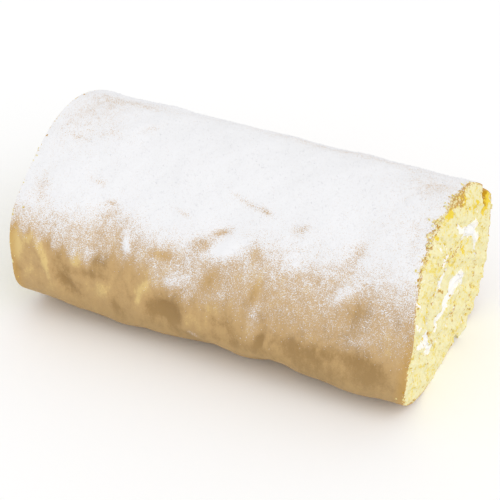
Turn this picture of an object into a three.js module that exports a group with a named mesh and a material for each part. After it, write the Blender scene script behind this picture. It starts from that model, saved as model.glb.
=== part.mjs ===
// A lemon cake roll: one thick sheet of yellow sponge rolled round white cream, resting on its
// long side. Millimetres, +Z up, X along the roll, -Y the front. The roll is cut at +X, where the
// turns show as a spiral, and the free end of the sheet is tucked under the lower back.
//
// The section is drawn with a winding angle in degrees that runs clockwise as seen from +X, from
// the start of the sheet near the middle out to the tucked end. Winding 0 points to the back
// (+Y), 90 down, 180 to the front and 270 up, and each full turn adds 360.

import * as THREE from "three";

// Driving dimensions of the whole roll
const LENGTH = 172;
const WIDTH = 100;
const HEIGHT = 77;

// Outline of the section: a flattened oval that has sagged under its own weight
const OUTLINE = {
  middleHeight: 36,
  slopingShoulders: 0.34,
  underside: 36.9,
  undersideSquareness: 3.15,
  backLift: 6.5,
};

// Seam between the outer turn and the inner turn: an oval that rises to the back by `tilt` degrees
const SEAM = {
  centreY: -1.5,
  centreZ: 37,
  halfLength: 30,
  up: 17.5,
  down: 15.5,
  squareness: 2.3,
  tilt: 14,
};

// Cream in the heart of the roll: a strip that is thin at the front, thickens between `thinTo`
// and `thickFrom`, and arches over the start of the sheet
const HEART = {
  centreY: -6.2,
  centreZ: 31.3,
  halfWidth: 17.3,
  squareness: 2.4,
  halfThin: 1.1,
  halfThick: 2.5,
  thinTo: -16,
  thickFrom: -4,
  archY: 1.5,
  archSpread: 10.5,
  archRise: 6.6,
};

// Windings at which the sheet starts, reaches the seam, leaves it for the outside, and ends
const SHEET_START = 25;
const SEAM_REACHED = 450;
const OUTSIDE_FROM = 372;
const OUTSIDE_REACHED = 449;
const TUCKED_END = 793;
const TURN = 360;
const SKIN_FROM = TUCKED_END - TURN;
const STEP_RISE = 14;

// Windings over which the relief of the skin fades out beside the tucked end
const FADE_PAST_STEP = 20;
const FADE_BEFORE_END = 12;

// Cream between the turns: thin where the sponge presses, thick in a few pockets
const CREAM_THIN = 1.3;
const CREAM_POCKETS = [
  { winding: 524, spread: 15, extra: 2.4 },
  { winding: 606, spread: 16, extra: 2.2 },
  { winding: 682, spread: 24, extra: 3 },
];
const CLEARANCE = 0.35;
const HEART_TIP = 28;
const HEART_FAN_FROM = 0.87;
const CREAM_END = TUCKED_END - 10;

// Slow changes of the section along the roll, in millimetres outwards. `x` and `girth` give the
// middle of each, where girth is about the way round the section from the back, over the top.
const GIRTH_PER_DEGREE = 0.8;
const SWELLS = [
  { x: -85, girth: 122, alongX: 42, round: 20, out: 4.6 },
  { x: -85, girth: 152, alongX: 34, round: 14, out: 2 },
  { x: -85, girth: 184, alongX: 30, round: 10, out: -1.5 },
  { x: 85, girth: 140, alongX: 50, round: 22, out: -4 },
  { x: 85, girth: 0, alongX: 40, round: 25, out: -3 },
];

// Dents, folds and bumps in the skin, in millimetres outwards. Each is a soft oval, `long` by
// `wide`, turned from the length of the roll towards its underside.
const DENTS = [
  // The deepest dent, with the lips on both sides of it
  { x: -17, girth: 150, long: 7.5, wide: 9, turn: 0, out: -2.6 },
  { x: -7, girth: 150, long: 9, wide: 2.4, turn: 85, out: 0.9 },
  { x: -25.5, girth: 144, long: 9, wide: 2.2, turn: 110, out: 1.2 },
  // Folds at the far end
  { x: -70, girth: 138, long: 9, wide: 2.3, turn: 62, out: 1.2 },
  { x: -76, girth: 131, long: 5, wide: 2.3, turn: 20, out: 0.7 },
  { x: -82, girth: 136, long: 6, wide: 4, turn: 90, out: 0.7 },
  { x: -76, girth: 144, long: 6, wide: 4.5, turn: 60, out: -0.8 },
  { x: -60, girth: 151, long: 10, wide: 3.4, turn: 75, out: -1.4 },
  { x: -66, girth: 158, long: 10, wide: 3, turn: 85, out: 0.6 },
  // Creases between the far end and the deepest dent
  { x: -50, girth: 141, long: 6, wide: 2.8, turn: 0, out: -0.8 },
  { x: -55, girth: 136, long: 4, wide: 2.6, turn: -30, out: 0.6 },
  { x: -43.5, girth: 148, long: 7, wide: 3.2, turn: 90, out: 0.9 },
  { x: -36, girth: 155, long: 10, wide: 4, turn: 80, out: -0.7 },
  { x: -34, girth: 126, long: 5, wide: 2.2, turn: 80, out: 0.6 },
  // Creases towards the cut end
  { x: 25.5, girth: 153, long: 6, wide: 2, turn: 95, out: -0.9 },
  { x: 22, girth: 150, long: 7, wide: 2.4, turn: 95, out: 0.5 },
  { x: 9, girth: 117, long: 6, wide: 4, turn: -20, out: 0.8 },
  { x: 5, girth: 110.5, long: 5, wide: 2.6, turn: -15, out: -0.6 },
  { x: 56, girth: 123, long: 5, wide: 2.6, turn: -50, out: 0.6 },
  { x: 62, girth: 129, long: 9, wide: 5, turn: -50, out: -0.7 },
  { x: 57, girth: 106, long: 9, wide: 4, turn: 100, out: -0.5 },
  { x: 16, girth: 99, long: 9, wide: 2.8, turn: 0, out: -0.5 },
  // Uneven lower edge
  { x: -80, girth: 173, long: 8, wide: 9, turn: 0, out: -0.8 },
  { x: -56, girth: 174, long: 9, wide: 9, turn: 0, out: 0.8 },
  { x: -38, girth: 175, long: 9, wide: 9, turn: 0, out: 1.2 },
  { x: 3, girth: 176, long: 8, wide: 9, turn: 0, out: -1.6 },
  { x: 29, girth: 176, long: 9, wide: 9, turn: 0, out: -2.2 },
  { x: 60, girth: 176, long: 11, wide: 9, turn: 0, out: 0.9 },
];

// Gentle waves all over the skin
const WAVES = [
  { alongX: 47, round: 210, phase: 0.4, height: 0.22 },
  { alongX: 130, round: -31, phase: 1.3, height: 0.16 },
  { alongX: -29, round: 41, phase: 2.1, height: 0.14 },
  { alongX: 21, round: 27, phase: 4.4, height: 0.1 },
];

// The cut faces: each turn of crumb stands a little proud, tears run across it, and some
// hollows are torn out
const CRUMB_DOME = 1.3;
const CRUMB_DOME_SUNK = 0.78;
const CRUMB_TEARS = [
  { alongY: 13.1, alongZ: 8.7, phase: 0.9, height: 0.5 },
  { alongY: -7.3, alongZ: 9.9, phase: 3.2, height: 0.42 },
  { alongY: 5.2, alongZ: -6.1, phase: 5.1, height: 0.3 },
];
// Share of the sheet's thickness over which the tears begin beside its browned face
const TEARS_WITHIN = 0.22;
const CRUMB_HOLLOWS = [
  { y: 36, z: 58, radius: 4.5, deep: 3.6 },
  { y: -30, z: 50, radius: 4, deep: 1.6 },
  { y: 2, z: 66, radius: 4.5, deep: 1.4 },
  { y: -38, z: 20, radius: 4, deep: 1.5 },
  { y: 25, z: 9, radius: 4, deep: 1.3 },
  { y: -8, z: 45, radius: 4, deep: 1.2 },
];
// Where the skin is torn back from the cut at +X, or left standing beyond it, as places round
// the girth
const RIM_TEARS = [
  { girth: 57, spread: 10, back: 1.5 },
  { girth: 104, spread: 13, back: 1.7 },
  { girth: 135, spread: 10, back: -1.4 },
  { girth: 158, spread: 9, back: -0.5 },
  { girth: 175, spread: 9, back: 1 },
];
const RIM_DEPTH = 0.25;
const CREAM_SUNK = 0.5;

// Fineness of the surfaces
const SKIN_STEP = 5;
const INNER_STEP = 6;
const HEART_STEP = 6;
const SKIN_SPANS = 40;
const INNER_SPANS = 2;
const CRUMB_LAYERS = 4;

const RADIAN = Math.PI / 180;
const FULL_CIRCLE = 2 * Math.PI;

const mix = (a, b, t) => a + (b - a) * t;
const mixPoints = (a, b, t) => [mix(a[0], b[0], t), mix(a[1], b[1], t)];

function ease(value, from, to) {
  const t = Math.min(1, Math.max(0, (value - from) / (to - from)));
  return t * t * (3 - 2 * t);
}

const bell = (distance, spread) => Math.exp(-((distance / spread) ** 2));

// Direction of a winding on an oval of the given squareness: [towards the back, upwards]
function ovalDirection(winding, squareness) {
  const c = Math.cos(winding * RADIAN);
  const s = -Math.sin(winding * RADIAN);
  const size = (Math.abs(c) ** squareness + Math.abs(s) ** squareness) ** (1 / squareness);
  return [c / size, s / size];
}

// Outer outline of the section
function outline(winding) {
  const below = Math.sin(winding * RADIAN) > 0;
  const shoulders = OUTLINE.slopingShoulders * Math.sin(2 * winding * RADIAN) ** 2;
  const squareness = below ? OUTLINE.undersideSquareness : 2 - shoulders;
  const [c, s] = ovalDirection(winding, squareness);
  const reach = below ? OUTLINE.underside : HEIGHT - OUTLINE.middleHeight;
  const lift = OUTLINE.backLift * c * (1 - Math.abs(s));
  return [(WIDTH / 2) * c, OUTLINE.middleHeight + reach * s + lift];
}

// Seam between the two turns
function seam(winding) {
  const [c, s] = ovalDirection(winding, SEAM.squareness);
  const along = c * SEAM.halfLength;
  const rise = s * (s > 0 ? SEAM.up : SEAM.down);
  const tiltC = Math.cos(SEAM.tilt * RADIAN);
  const tiltS = Math.sin(SEAM.tilt * RADIAN);
  const y = SEAM.centreY + along * tiltC - rise * tiltS;
  return [y, SEAM.centreZ + along * tiltS + rise * tiltC];
}

// Face of the sponge round the heart of cream
function heart(winding) {
  const [c, s] = ovalDirection(winding, HEART.squareness);
  const y = HEART.centreY + HEART.halfWidth * c;
  const arch = HEART.archRise * bell(y - HEART.archY, HEART.archSpread);
  const half = mix(HEART.halfThin, HEART.halfThick, ease(y, HEART.thinTo, HEART.thickFrom));
  return [y, HEART.centreZ + arch + half * s];
}

// Surface between a turn of the sheet and the next one out, and the outline past the last turn
function wall(winding) {
  if (winding < SEAM_REACHED - TURN) {
    return mixPoints(heart(winding), seam(winding), ease(winding, 0, SEAM_REACHED - TURN));
  }
  return mixPoints(seam(winding), outline(winding), ease(winding, OUTSIDE_FROM, OUTSIDE_REACHED));
}

// Face of the sheet that carries the cream
const creamedFace = (winding) => wall(winding - TURN);

function creamDepth(winding) {
  const pockets = CREAM_POCKETS.map((p) => p.extra * bell(winding - p.winding, p.spread));
  return pockets.reduce((sum, extra) => sum + extra, CREAM_THIN);
}

// Browned face of the sheet: it lies under the next turn, less the cream between them, and
// comes out to the outline just past the tucked end
function brownedFace(winding) {
  const [y, z] = wall(winding);
  const before = wall(winding - 1);
  const after = wall(winding + 1);
  const along = [after[0] - before[0], after[1] - before[1]];
  const size = Math.hypot(along[0], along[1]);
  const depth = creamDepth(winding + TURN) * (1 - ease(winding, SKIN_FROM, SKIN_FROM + STEP_RISE));
  return [y + (along[1] / size) * depth, z - (along[0] / size) * depth];
}

const girthOf = (winding) => ((2 * TURN - (winding % TURN)) % TURN) * GIRTH_PER_DEGREE;

// Shortest way round the section between two places on the skin
function girthBetween(a, b) {
  const whole = TURN * GIRTH_PER_DEGREE;
  return ((((a - b) % whole) + 1.5 * whole) % whole) - whole / 2;
}

// A point of the section carried to its place along the roll, with the slow swells
function placed(point, winding, x) {
  const girth = girthOf(winding);
  const out = SWELLS.reduce((sum, s) => {
    return sum + s.out * bell(x - s.x, s.alongX) * bell(girthBetween(girth, s.girth), s.round);
  }, 0);
  const [y, z] = outline(winding);
  const scale = 1 + out / Math.hypot(y, z - OUTLINE.middleHeight);
  const middle = OUTLINE.middleHeight;
  return [x, point[0] * scale, middle + (point[1] - middle) * scale];
}

// Height of the skin's dents, folds and waves
function skinRelief(x, winding) {
  const girth = girthOf(winding);
  let height = 0;
  for (const d of DENTS) {
    const dx = x - d.x;
    const dg = girthBetween(girth, d.girth);
    const c = Math.cos(d.turn * RADIAN);
    const s = Math.sin(d.turn * RADIAN);
    height += d.out * bell(dx * c + dg * s, d.long) * bell(dg * c - dx * s, d.wide);
  }
  for (const w of WAVES) {
    const cycles = x / w.alongX + girth / w.round;
    height += w.height * Math.sin(FULL_CIRCLE * cycles + w.phase);
  }
  return height;
}

// A point of the skin with its relief, kept above the surface that the roll rests on
function skinPoint(winding, x) {
  const [px, y, z] = placed(brownedFace(winding), winding, x);
  const dz = z - OUTLINE.middleHeight;
  const pastStep = ease(winding, SKIN_FROM, SKIN_FROM + FADE_PAST_STEP);
  const beforeEnd = ease(winding, TUCKED_END, TUCKED_END - FADE_BEFORE_END);
  const relief = pastStep * beforeEnd * skinRelief(x, winding);
  const scale = 1 + relief / Math.hypot(y, dz);
  return [px, y * scale, Math.max(0, OUTLINE.middleHeight + dz * scale)];
}

// How far a cut face stands beyond the nominal end, at a share of the sheet's thickness in from
// the browned face
function crumbRelief(side, y, z, depth) {
  let out = CRUMB_DOME * Math.sin(Math.PI * depth) - CRUMB_DOME_SUNK;
  const torn = ease(depth, 0, TEARS_WITHIN);
  for (const t of CRUMB_TEARS) {
    const cycles = y / t.alongY + z / t.alongZ;
    out += torn * t.height * Math.sin(FULL_CIRCLE * cycles + t.phase + side);
  }
  for (const h of CRUMB_HOLLOWS) {
    out -= h.deep * bell(Math.hypot(y - h.y, z - h.z), h.radius);
  }
  return out;
}

// How far the skin is torn back from the cut at +X
function rimTear(side, winding, depth) {
  const girth = girthOf(winding);
  const back = RIM_TEARS.map((t) => t.back * bell(girthBetween(girth, t.girth), t.spread));
  const torn = side > 0 && winding >= SKIN_FROM;
  const nearSkin = torn ? Math.max(0, 1 - depth / RIM_DEPTH) : 0;
  return back.reduce((sum, b) => sum + b, 0) * nearSkin;
}

// Collects the points and triangles of one closed surface
class Surface {
  constructor() {
    this.points = [];
    this.triangles = [];
  }

  add(point) {
    this.points.push(point);
    return this.points.length - 1;
  }

  face(a, b, c) {
    this.triangles.push(a, b, c);
  }

  // Joins two rows of points that run the same way, whatever number each row has
  stitch(row, next) {
    let i = 0;
    let j = 0;
    while (i < row.length - 1 || j < next.length - 1) {
      const rowTo = (i + 1) / (row.length - 1);
      const nextTo = (j + 1) / (next.length - 1);
      if (rowTo <= nextTo) {
        this.face(row[i], row[i + 1], next[j]);
        i += 1;
      } else {
        this.face(row[i], next[j + 1], next[j]);
        j += 1;
      }
    }
  }

  geometry() {
    const made = new THREE.BufferGeometry();
    made.setAttribute("position", new THREE.Float32BufferAttribute(this.points.flat(), 3));
    made.setIndex(this.triangles);
    made.computeVertexNormals();
    return made;
  }
}

// A band that is rolled in the section and runs the length of the roll. Its two ends are grids of
// endPoint(side, i, j), i along the band and j across it, and longRow(i, j) gives the points
// between the two ends along its faces.
function rolledBand(across, steps, endPoint, longRow) {
  const surface = new Surface();
  const ends = [-1, 1].map((side) => {
    return steps.map((_, i) => {
      return across.map((_, j) => surface.add(endPoint(side, i, j)));
    });
  });
  const last = across.length - 1;
  const rowAt = (i, j) => {
    const inner = longRow(i, j).map((point) => surface.add(point));
    return [ends[0][i][j], ...inner, ends[1][i][j]];
  };
  const loop = [];
  steps.forEach((_, i) => loop.push(rowAt(i, 0)));
  for (let j = 1; j < last; j += 1) loop.push(rowAt(steps.length - 1, j));
  for (let i = steps.length - 1; i >= 0; i -= 1) loop.push(rowAt(i, last));
  for (let j = last - 1; j > 0; j -= 1) loop.push(rowAt(0, j));
  loop.forEach((row, k) => surface.stitch(row, loop[(k + 1) % loop.length]));
  for (let i = 0; i < steps.length - 1; i += 1) {
    for (let j = 0; j < last; j += 1) {
      const [a, b] = [ends[1][i][j], ends[1][i][j + 1]];
      const [c, d] = [ends[1][i + 1][j], ends[1][i + 1][j + 1]];
      surface.face(a, b, c);
      surface.face(b, d, c);
      const [e, f] = [ends[0][i][j], ends[0][i][j + 1]];
      const [g, h] = [ends[0][i + 1][j], ends[0][i + 1][j + 1]];
      surface.face(e, g, f);
      surface.face(f, g, h);
    }
  }
  return surface.geometry();
}

// Equal steps of at most `size` from one winding to another
function windings(from, to, size) {
  const count = Math.ceil((to - from) / size);
  return Array.from({ length: count }, (_, k) => from + ((to - from) * k) / count);
}

// The rolled sheet of sponge. `across` runs from the browned face to the creamed one.
function spongeGeometry() {
  const steps = [
    ...windings(SHEET_START, SKIN_FROM, INNER_STEP),
    ...windings(SKIN_FROM, TUCKED_END, SKIN_STEP),
    TUCKED_END,
  ];
  const across = Array.from({ length: CRUMB_LAYERS + 1 }, (_, j) => j / CRUMB_LAYERS);
  const onSkin = (i, j) => steps[i] >= SKIN_FROM && j === 0;
  const pointAt = (i, j, x) => {
    const winding = steps[i];
    const point = mixPoints(brownedFace(winding), creamedFace(winding), across[j]);
    return onSkin(i, j) ? skinPoint(winding, x) : placed(point, winding, x);
  };
  const endX = (side, i, j) => {
    const [, y, z] = pointAt(i, j, (side * LENGTH) / 2);
    const relief = crumbRelief(side, y, z, across[j]) - rimTear(side, steps[i], across[j]);
    return side * (LENGTH / 2 + relief);
  };
  const endPoint = (side, i, j) => pointAt(i, j, endX(side, i, j));
  const longRow = (i, j) => {
    const spans = onSkin(i, j) ? SKIN_SPANS : INNER_SPANS;
    const [from, to] = [endX(-1, i, j), endX(1, i, j)];
    return Array.from({ length: spans - 1 }, (_, k) => {
      return pointAt(i, j, mix(from, to, (k + 1) / spans));
    });
  };
  return rolledBand(across, steps, endPoint, longRow);
}

// The cream, from the heart of the roll out to the tucked end. Each step pairs a winding on the
// creamed face outside it with a winding on the sponge inside it. The last steps of the heart fan
// round the start of the sheet.
function creamGeometry() {
  const heartFrom = TURN / 2 + HEART_TIP;
  const heartTo = TURN + SHEET_START - HEART_STEP;
  const heartSteps = [...windings(heartFrom, heartTo, HEART_STEP), heartTo].map((outer) => {
    const share = (outer - heartFrom) / (heartTo - heartFrom) / HEART_FAN_FROM;
    const inner = mix(TURN / 2 - HEART_TIP, SHEET_START, Math.min(1, share));
    return { outer, inner, innerFace: creamedFace };
  });
  const bandSteps = [...windings(TURN + SHEET_START, CREAM_END, INNER_STEP), CREAM_END];
  const steps = [
    ...heartSteps,
    ...bandSteps.map((outer) => ({ outer, inner: outer - TURN, innerFace: brownedFace })),
  ];
  const pointAt = (i, j, x) => {
    const { outer, inner, innerFace } = steps[i];
    const outside = placed(creamedFace(outer), outer, x);
    const inside = placed(innerFace(inner), inner, x);
    const [from, to] = j === 0 ? [outside, inside] : [inside, outside];
    const share = CLEARANCE / Math.hypot(to[1] - from[1], to[2] - from[2]);
    return [x, mix(from[1], to[1], share), mix(from[2], to[2], share)];
  };
  const endPoint = (side, i, j) => pointAt(i, j, side * (LENGTH / 2 - CREAM_SUNK));
  const longRow = (i, j) => [pointAt(i, j, 0)];
  return rolledBand([0, 1], steps, endPoint, longRow);
}

function named(name, geometry, colour, roughness) {
  const material = new THREE.MeshStandardMaterial({ color: colour, roughness, metalness: 0 });
  const mesh = new THREE.Mesh(geometry, material);
  mesh.name = name;
  return mesh;
}

const roll = new THREE.Group();
roll.add(named("sponge", spongeGeometry(), 0xe9cf82, 0.9));
roll.add(named("cream", creamGeometry(), 0xf4f2ec, 0.6));

// The origin is on the surface that the roll rests on, under the middle of its box
const box = new THREE.Box3().setFromObject(roll);
const middle = box.getCenter(new THREE.Vector3());
roll.children.forEach((mesh) => mesh.geometry.translate(-middle.x, -middle.y, -box.min.z));

export default roll;
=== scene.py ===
"""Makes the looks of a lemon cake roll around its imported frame: the rolled sponge with its browned
skin and open crumb, the cream between its turns, the icing sugar on top, and the crumbs and torn
flakes of skin beside the cuts. Lengths in the section are in millimetres, objects in metres."""

import math

import bpy
import numpy as np
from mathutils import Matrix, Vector


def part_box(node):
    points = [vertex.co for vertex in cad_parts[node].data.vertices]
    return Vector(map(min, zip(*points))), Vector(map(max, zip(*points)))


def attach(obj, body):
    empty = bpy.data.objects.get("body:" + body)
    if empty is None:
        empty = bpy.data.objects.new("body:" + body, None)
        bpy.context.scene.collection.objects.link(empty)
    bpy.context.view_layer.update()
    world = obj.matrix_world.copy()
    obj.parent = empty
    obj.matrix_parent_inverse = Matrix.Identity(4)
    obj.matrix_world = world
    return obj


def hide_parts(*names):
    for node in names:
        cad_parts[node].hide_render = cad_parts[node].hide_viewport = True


bl_info = {
    "name": "Lemon Cake Roll",
    "version": (1, 0, 0),
    "blender": (4, 5, 0),
    "location": "3D View > Sidebar > Cake Roll",
    "description": "Dresses a lemon cake roll with skin, crumb, cream, icing sugar and crumbs",
    "category": "Add Mesh",
}

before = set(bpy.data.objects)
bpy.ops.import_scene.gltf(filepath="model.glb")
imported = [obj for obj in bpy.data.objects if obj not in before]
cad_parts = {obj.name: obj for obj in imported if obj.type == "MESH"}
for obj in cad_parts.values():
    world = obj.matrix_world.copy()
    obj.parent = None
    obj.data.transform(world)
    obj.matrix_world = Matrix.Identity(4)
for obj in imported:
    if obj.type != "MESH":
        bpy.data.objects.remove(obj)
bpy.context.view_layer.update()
BODY = "root"
MM = 0.001
RADIAN = math.pi / 180
FULL_CIRCLE = 2 * math.pi

# --- The section of the roll, in millimetres ---------------------------------------------------
# The winding angle runs clockwise as seen from +X: 0 points to the back, 90 down, 180 to the
# front and 270 up. Each full turn adds 360.

LENGTH = 172.0
WIDTH = 100.0
HEIGHT = 77.0
MIDDLE = 36.0
SLOPING_SHOULDERS = 0.34
UNDERSIDE = 36.9
UNDERSIDE_SQUARENESS = 3.15
BACK_LIFT = 6.5

SEAM_CENTRE = (-1.5, 37.0)
SEAM_HALF_LENGTH = 30.0
SEAM_UP = 17.5
SEAM_DOWN = 15.5
SEAM_SQUARENESS = 2.3
SEAM_TILT = 14.0

HEART_CENTRE = (-6.2, 31.3)
HEART_HALF_WIDTH = 17.3
HEART_SQUARENESS = 2.4
HEART_HALF_THIN = 1.1
HEART_HALF_THICK = 2.5
HEART_THIN_TO = -16.0
HEART_THICK_FROM = -4.0
HEART_ARCH_Y = 1.5
HEART_ARCH_SPREAD = 10.5
HEART_ARCH_RISE = 6.6

TURN = 360
SHEET_START = 25
SEAM_REACHED = 450
OUTSIDE_FROM = 372
OUTSIDE_REACHED = 449
TUCKED_END = 793
SKIN_FROM = TUCKED_END - TURN
STEP_RISE = 14
FADE_PAST_STEP = 20
FADE_BEFORE_END = 12

# Cream between the turns: (winding, spread, extra depth) of each thick pocket
CREAM_THIN = 1.3
CREAM_POCKETS = ((524, 15, 2.4), (606, 16, 2.2), (682, 24, 3))
HEART_TIP = 28
HEART_FAN_FROM = 0.87
CREAM_END = TUCKED_END - 10

# Slow swells of the section: (x, girth, along x, round, outwards). Girth is about the way round
# the section from the back, over the top.
GIRTH_PER_DEGREE = 0.8
WHOLE_GIRTH = TURN * GIRTH_PER_DEGREE
SWELLS = (
    (-85, 122, 42, 20, 4.6),
    (-85, 152, 34, 14, 2),
    (-85, 184, 30, 10, -1.5),
    (85, 140, 50, 22, -4),
    (85, 0, 40, 25, -3),
)

# Dents, folds and bumps in the skin: (x, girth, long, wide, turn in degrees, outwards)
DENTS = (
    # The deepest dent, with the lips on both sides of it
    (-17, 150, 7.5, 9, 0, -2.6),
    (-7, 150, 9, 2.4, 85, 0.9),
    (-25.5, 144, 9, 2.2, 110, 1.2),
    # Folds at the far end
    (-70, 138, 9, 2.3, 62, 1.2),
    (-76, 131, 5, 2.3, 20, 0.7),
    (-82, 136, 6, 4, 90, 0.7),
    (-76, 144, 6, 4.5, 60, -0.8),
    (-60, 151, 10, 3.4, 75, -1.4),
    (-66, 158, 10, 3, 85, 0.6),
    # Creases between the far end and the deepest dent
    (-50, 141, 6, 2.8, 0, -0.8),
    (-55, 136, 4, 2.6, -30, 0.6),
    (-43.5, 148, 7, 3.2, 90, 0.9),
    (-36, 155, 10, 4, 80, -0.7),
    (-34, 126, 5, 2.2, 80, 0.6),
    # Creases towards the cut end
    (25.5, 153, 6, 2, 95, -0.9),
    (22, 150, 7, 2.4, 95, 0.5),
    (9, 117, 6, 4, -20, 0.8),
    (5, 110.5, 5, 2.6, -15, -0.6),
    (56, 123, 5, 2.6, -50, 0.6),
    (62, 129, 9, 5, -50, -0.7),
    (57, 106, 9, 4, 100, -0.5),
    (16, 99, 9, 2.8, 0, -0.5),
    # Uneven lower edge
    (-80, 173, 8, 9, 0, -0.8),
    (-56, 174, 9, 9, 0, 0.8),
    (-38, 175, 9, 9, 0, 1.2),
    (3, 176, 8, 9, 0, -1.6),
    (29, 176, 9, 9, 0, -2.2),
    (60, 176, 11, 9, 0, 0.9),
)

# Gentle waves all over the skin: (length along x, length round, phase, height)
WAVES = (
    (47, 210, 0.4, 0.22),
    (130, -31, 1.3, 0.16),
    (-29, 41, 2.1, 0.14),
    (21, 27, 4.4, 0.1),
)

# The cut faces: proud turns, tears (length in y, length in z, phase, height) and torn hollows
# (y, z, radius, depth)
CRUMB_DOME = 1.3
CRUMB_DOME_SUNK = 0.78
CRUMB_TEARS = ((13.1, 8.7, 0.9, 0.5), (-7.3, 9.9, 3.2, 0.4), (5.2, -6.1, 5.1, 0.1))
# Share of the sheet's thickness over which the tears begin beside its browned face, and over
# which the rough crumb does, with what that gains between two places on the way to the back
TEARS_WITHIN = 0.22
ROUGH_WITHIN = 0.13
ROUGH_GAIN = 0.14
ROUGH_GAINS_OVER = (8, 34)
CRUMB_HOLLOWS = (
    (36, 58, 4.5, 3.6),
    (-30, 50, 4, 1.6),
    (2, 66, 4.5, 1.4),
    (-38, 20, 4, 1.5),
    (25, 9, 4, 1.3),
    (-8, 45, 4, 1.2),
)
# Where the skin is torn back from the cut at +X, or left standing: (girth, spread, back)
RIM_TEARS = ((57, 10, 1.5), (104, 13, 1.7), (135, 10, -1.4), (158, 9, -0.5), (175, 9, 1))
RIM_DEPTH = 0.25
CREAM_SUNK = 0.5

# --- Finer shape that only the looks have, in millimetres --------------------------------------

# Steps of the winding in degrees, and how many spans and layers the faces have
SKIN_STEP = 0.72
INNER_STEP = 1.35
HEART_STEP = 2
SKIN_COLUMNS = 150
CRUMB_LAYERS = 26
CREAM_LAYERS = 6
INNER_SPANS = 2
# Random heights after which a rough line repeats
ROUGH_KNOTS = 1024

# The torn edge of the skin: (size of a tooth, depth, seed). At +X it is ragged over the top.
RAGGED_TEETH = ((3.4, 0.34, 11), (1.3, 0.3, 16))
RAGGED_SMOOTH = 0.22
RAGGED_TOP = 3.0
TORN_TOP = (84, 24)
CHUNKY_RIM = (66, 9)
RAGGED_DEPTH = 0.09
CREAM_RUFFLE = 0.35
CREAM_RUFFLE_SIZE = 4.5
CREAM_RUFFLE_DRIFT = 1.7
CREAM_RUFFLE_SEED = 3

# Deep narrow tears in the crumb: (y, z, half length, half width, turn in degrees, depth)
CRUMB_SLOTS = (
    (35.5, 58.6, 5.5, 3, 121, 2.4),
    (19, 64, 3, 1.4, 100, 0.6),
    (8, 49, 3, 1.5, 95, 0.6),
    (-30, 40, 3.4, 1.6, 100, 0.6),
    (-5, 63, 2.6, 1.4, 110, 0.6),
    (-26, 71, 2.6, 1.4, 110, 0.5),
    (-35, 24, 3, 1.2, 120, 0.5),
    (24, 31, 2.6, 1.8, 90, 0.6),
    (14, 6.5, 3.4, 1.4, 150, 0.8),
)
# Golden crumb where it is torn deepest, partly its colour and partly painted shade in the tears: (y,
# z, half length, half width, turn, share)
GOLDEN_TEARS = (
    (37.5, 57, 5.2, 4.4, 52, 3),
    (-1, 77, 3.4, 2.2, 150, 0.7),
    (4, 72.6, 3, 2, 150, 0.6),
    (6, 77, 3, 2, 90, 1),
    (-10, 76, 2, 3, 120, 0.9),
    (31.5, 53.4, 3, 1.6, 150, 0.6),
    (18.5, 63, 5, 2.6, 100, 0.75),
    (13.5, 67, 2, 1.6, 100, 0.5),
    (9.5, 48.5, 4, 2.4, 110, 0.75),
    (-31, 39.5, 4, 2, 110, 1),
    (-31.5, 45.5, 1.6, 1, 110, 0.7),
    (-28, 49, 4.4, 1.6, 125, 0.4),
    (-20.5, 49, 5, 1.6, 125, 0.5),
    (-5, 63, 3.4, 1.6, 115, 0.7),
    (-4.5, 59, 2, 1.4, 115, 0.5),
    (-20, 72.5, 4, 1.6, 105, 0.6),
    (-8, 76.5, 3, 2.4, 90, 0.7),
    (5, 78.5, 4, 3, 0, 1),
    (-36, 62, 3, 1.4, 130, 0.4),
    (-38, 52, 3, 1.6, 130, 0.4),
    (12, 6.5, 5, 1.6, 155, 0.5),
    (-19, 9, 2.4, 1.2, 140, 0.5),
)
GOLDEN_MOST = 2
GOLDEN_FAR_END = 0.4
# Brown crumbs of the crust between the turns and at the rim: (y, z, half length, half width,
# turn, share)
BROWN_CRUMBS = (
    (-1, 76.4, 3, 1.6, 160, 0.55),
    (3, 72.4, 3, 1.4, 150, 0.6),
    (6, 79.4, 2.4, 1.4, 0, 0.6),
    (-5, 80, 2.4, 1.4, 0, 0.5),
    (-10, 52.8, 1.8, 1, 20, 1),
    (-3, 52.4, 6, 0.8, 4, 0.8),
    (7.5, 54.6, 3.4, 0.8, 30, 0.6),
    (14.5, 53, 3, 0.8, 150, 0.6),
    (-15.7, 44.8, 1.8, 0.8, 140, 0.6),
    (-14.5, 41, 1.2, 0.7, 100, 0.5),
    (-20, 46, 1.6, 0.6, 140, 0.6),
    (-24.4, 29, 3.4, 0.6, 122, 0.65),
    (-22.2, 25.4, 1.6, 0.6, 140, 0.6),
    (26.5, 33.8, 3, 1.8, 10, 1),
    (24, 25, 3.4, 1, 100, 0.7),
    (24.5, 19.5, 2.4, 0.8, 80, 0.5),
    (19, 13.5, 5, 0.8, 25, 0.5),
    (5, 22.6, 2, 1.1, 45, 0.8),
    (2, 20.6, 2, 0.7, 10, 0.6),
    (-12, 20.6, 2.4, 0.6, 0, 0.5),
    (38, 34, 2, 1.2, 90, 0.5),
    (13, 6.5, 4, 1, 152, 0.6),
    (44, 47, 6, 0.9, 105, 0.8),
    (45, 38, 4, 0.9, 95, 0.6),
    (40, 15, 4, 0.9, 60, 0.5),
)
# The line of crust along the rim, what it loses over the torn top, the chunky crust, and the
# crust between the turns: (share, spread as a share of the sheet's thickness)
CRUST_LINE = (0.8, 0.045)
CRUST_LOST_ON_TOP = 0.5
CHUNKY_CRUST = (0.6, 0.16)
CRUST_BETWEEN = (0.24, 0.05)

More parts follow.
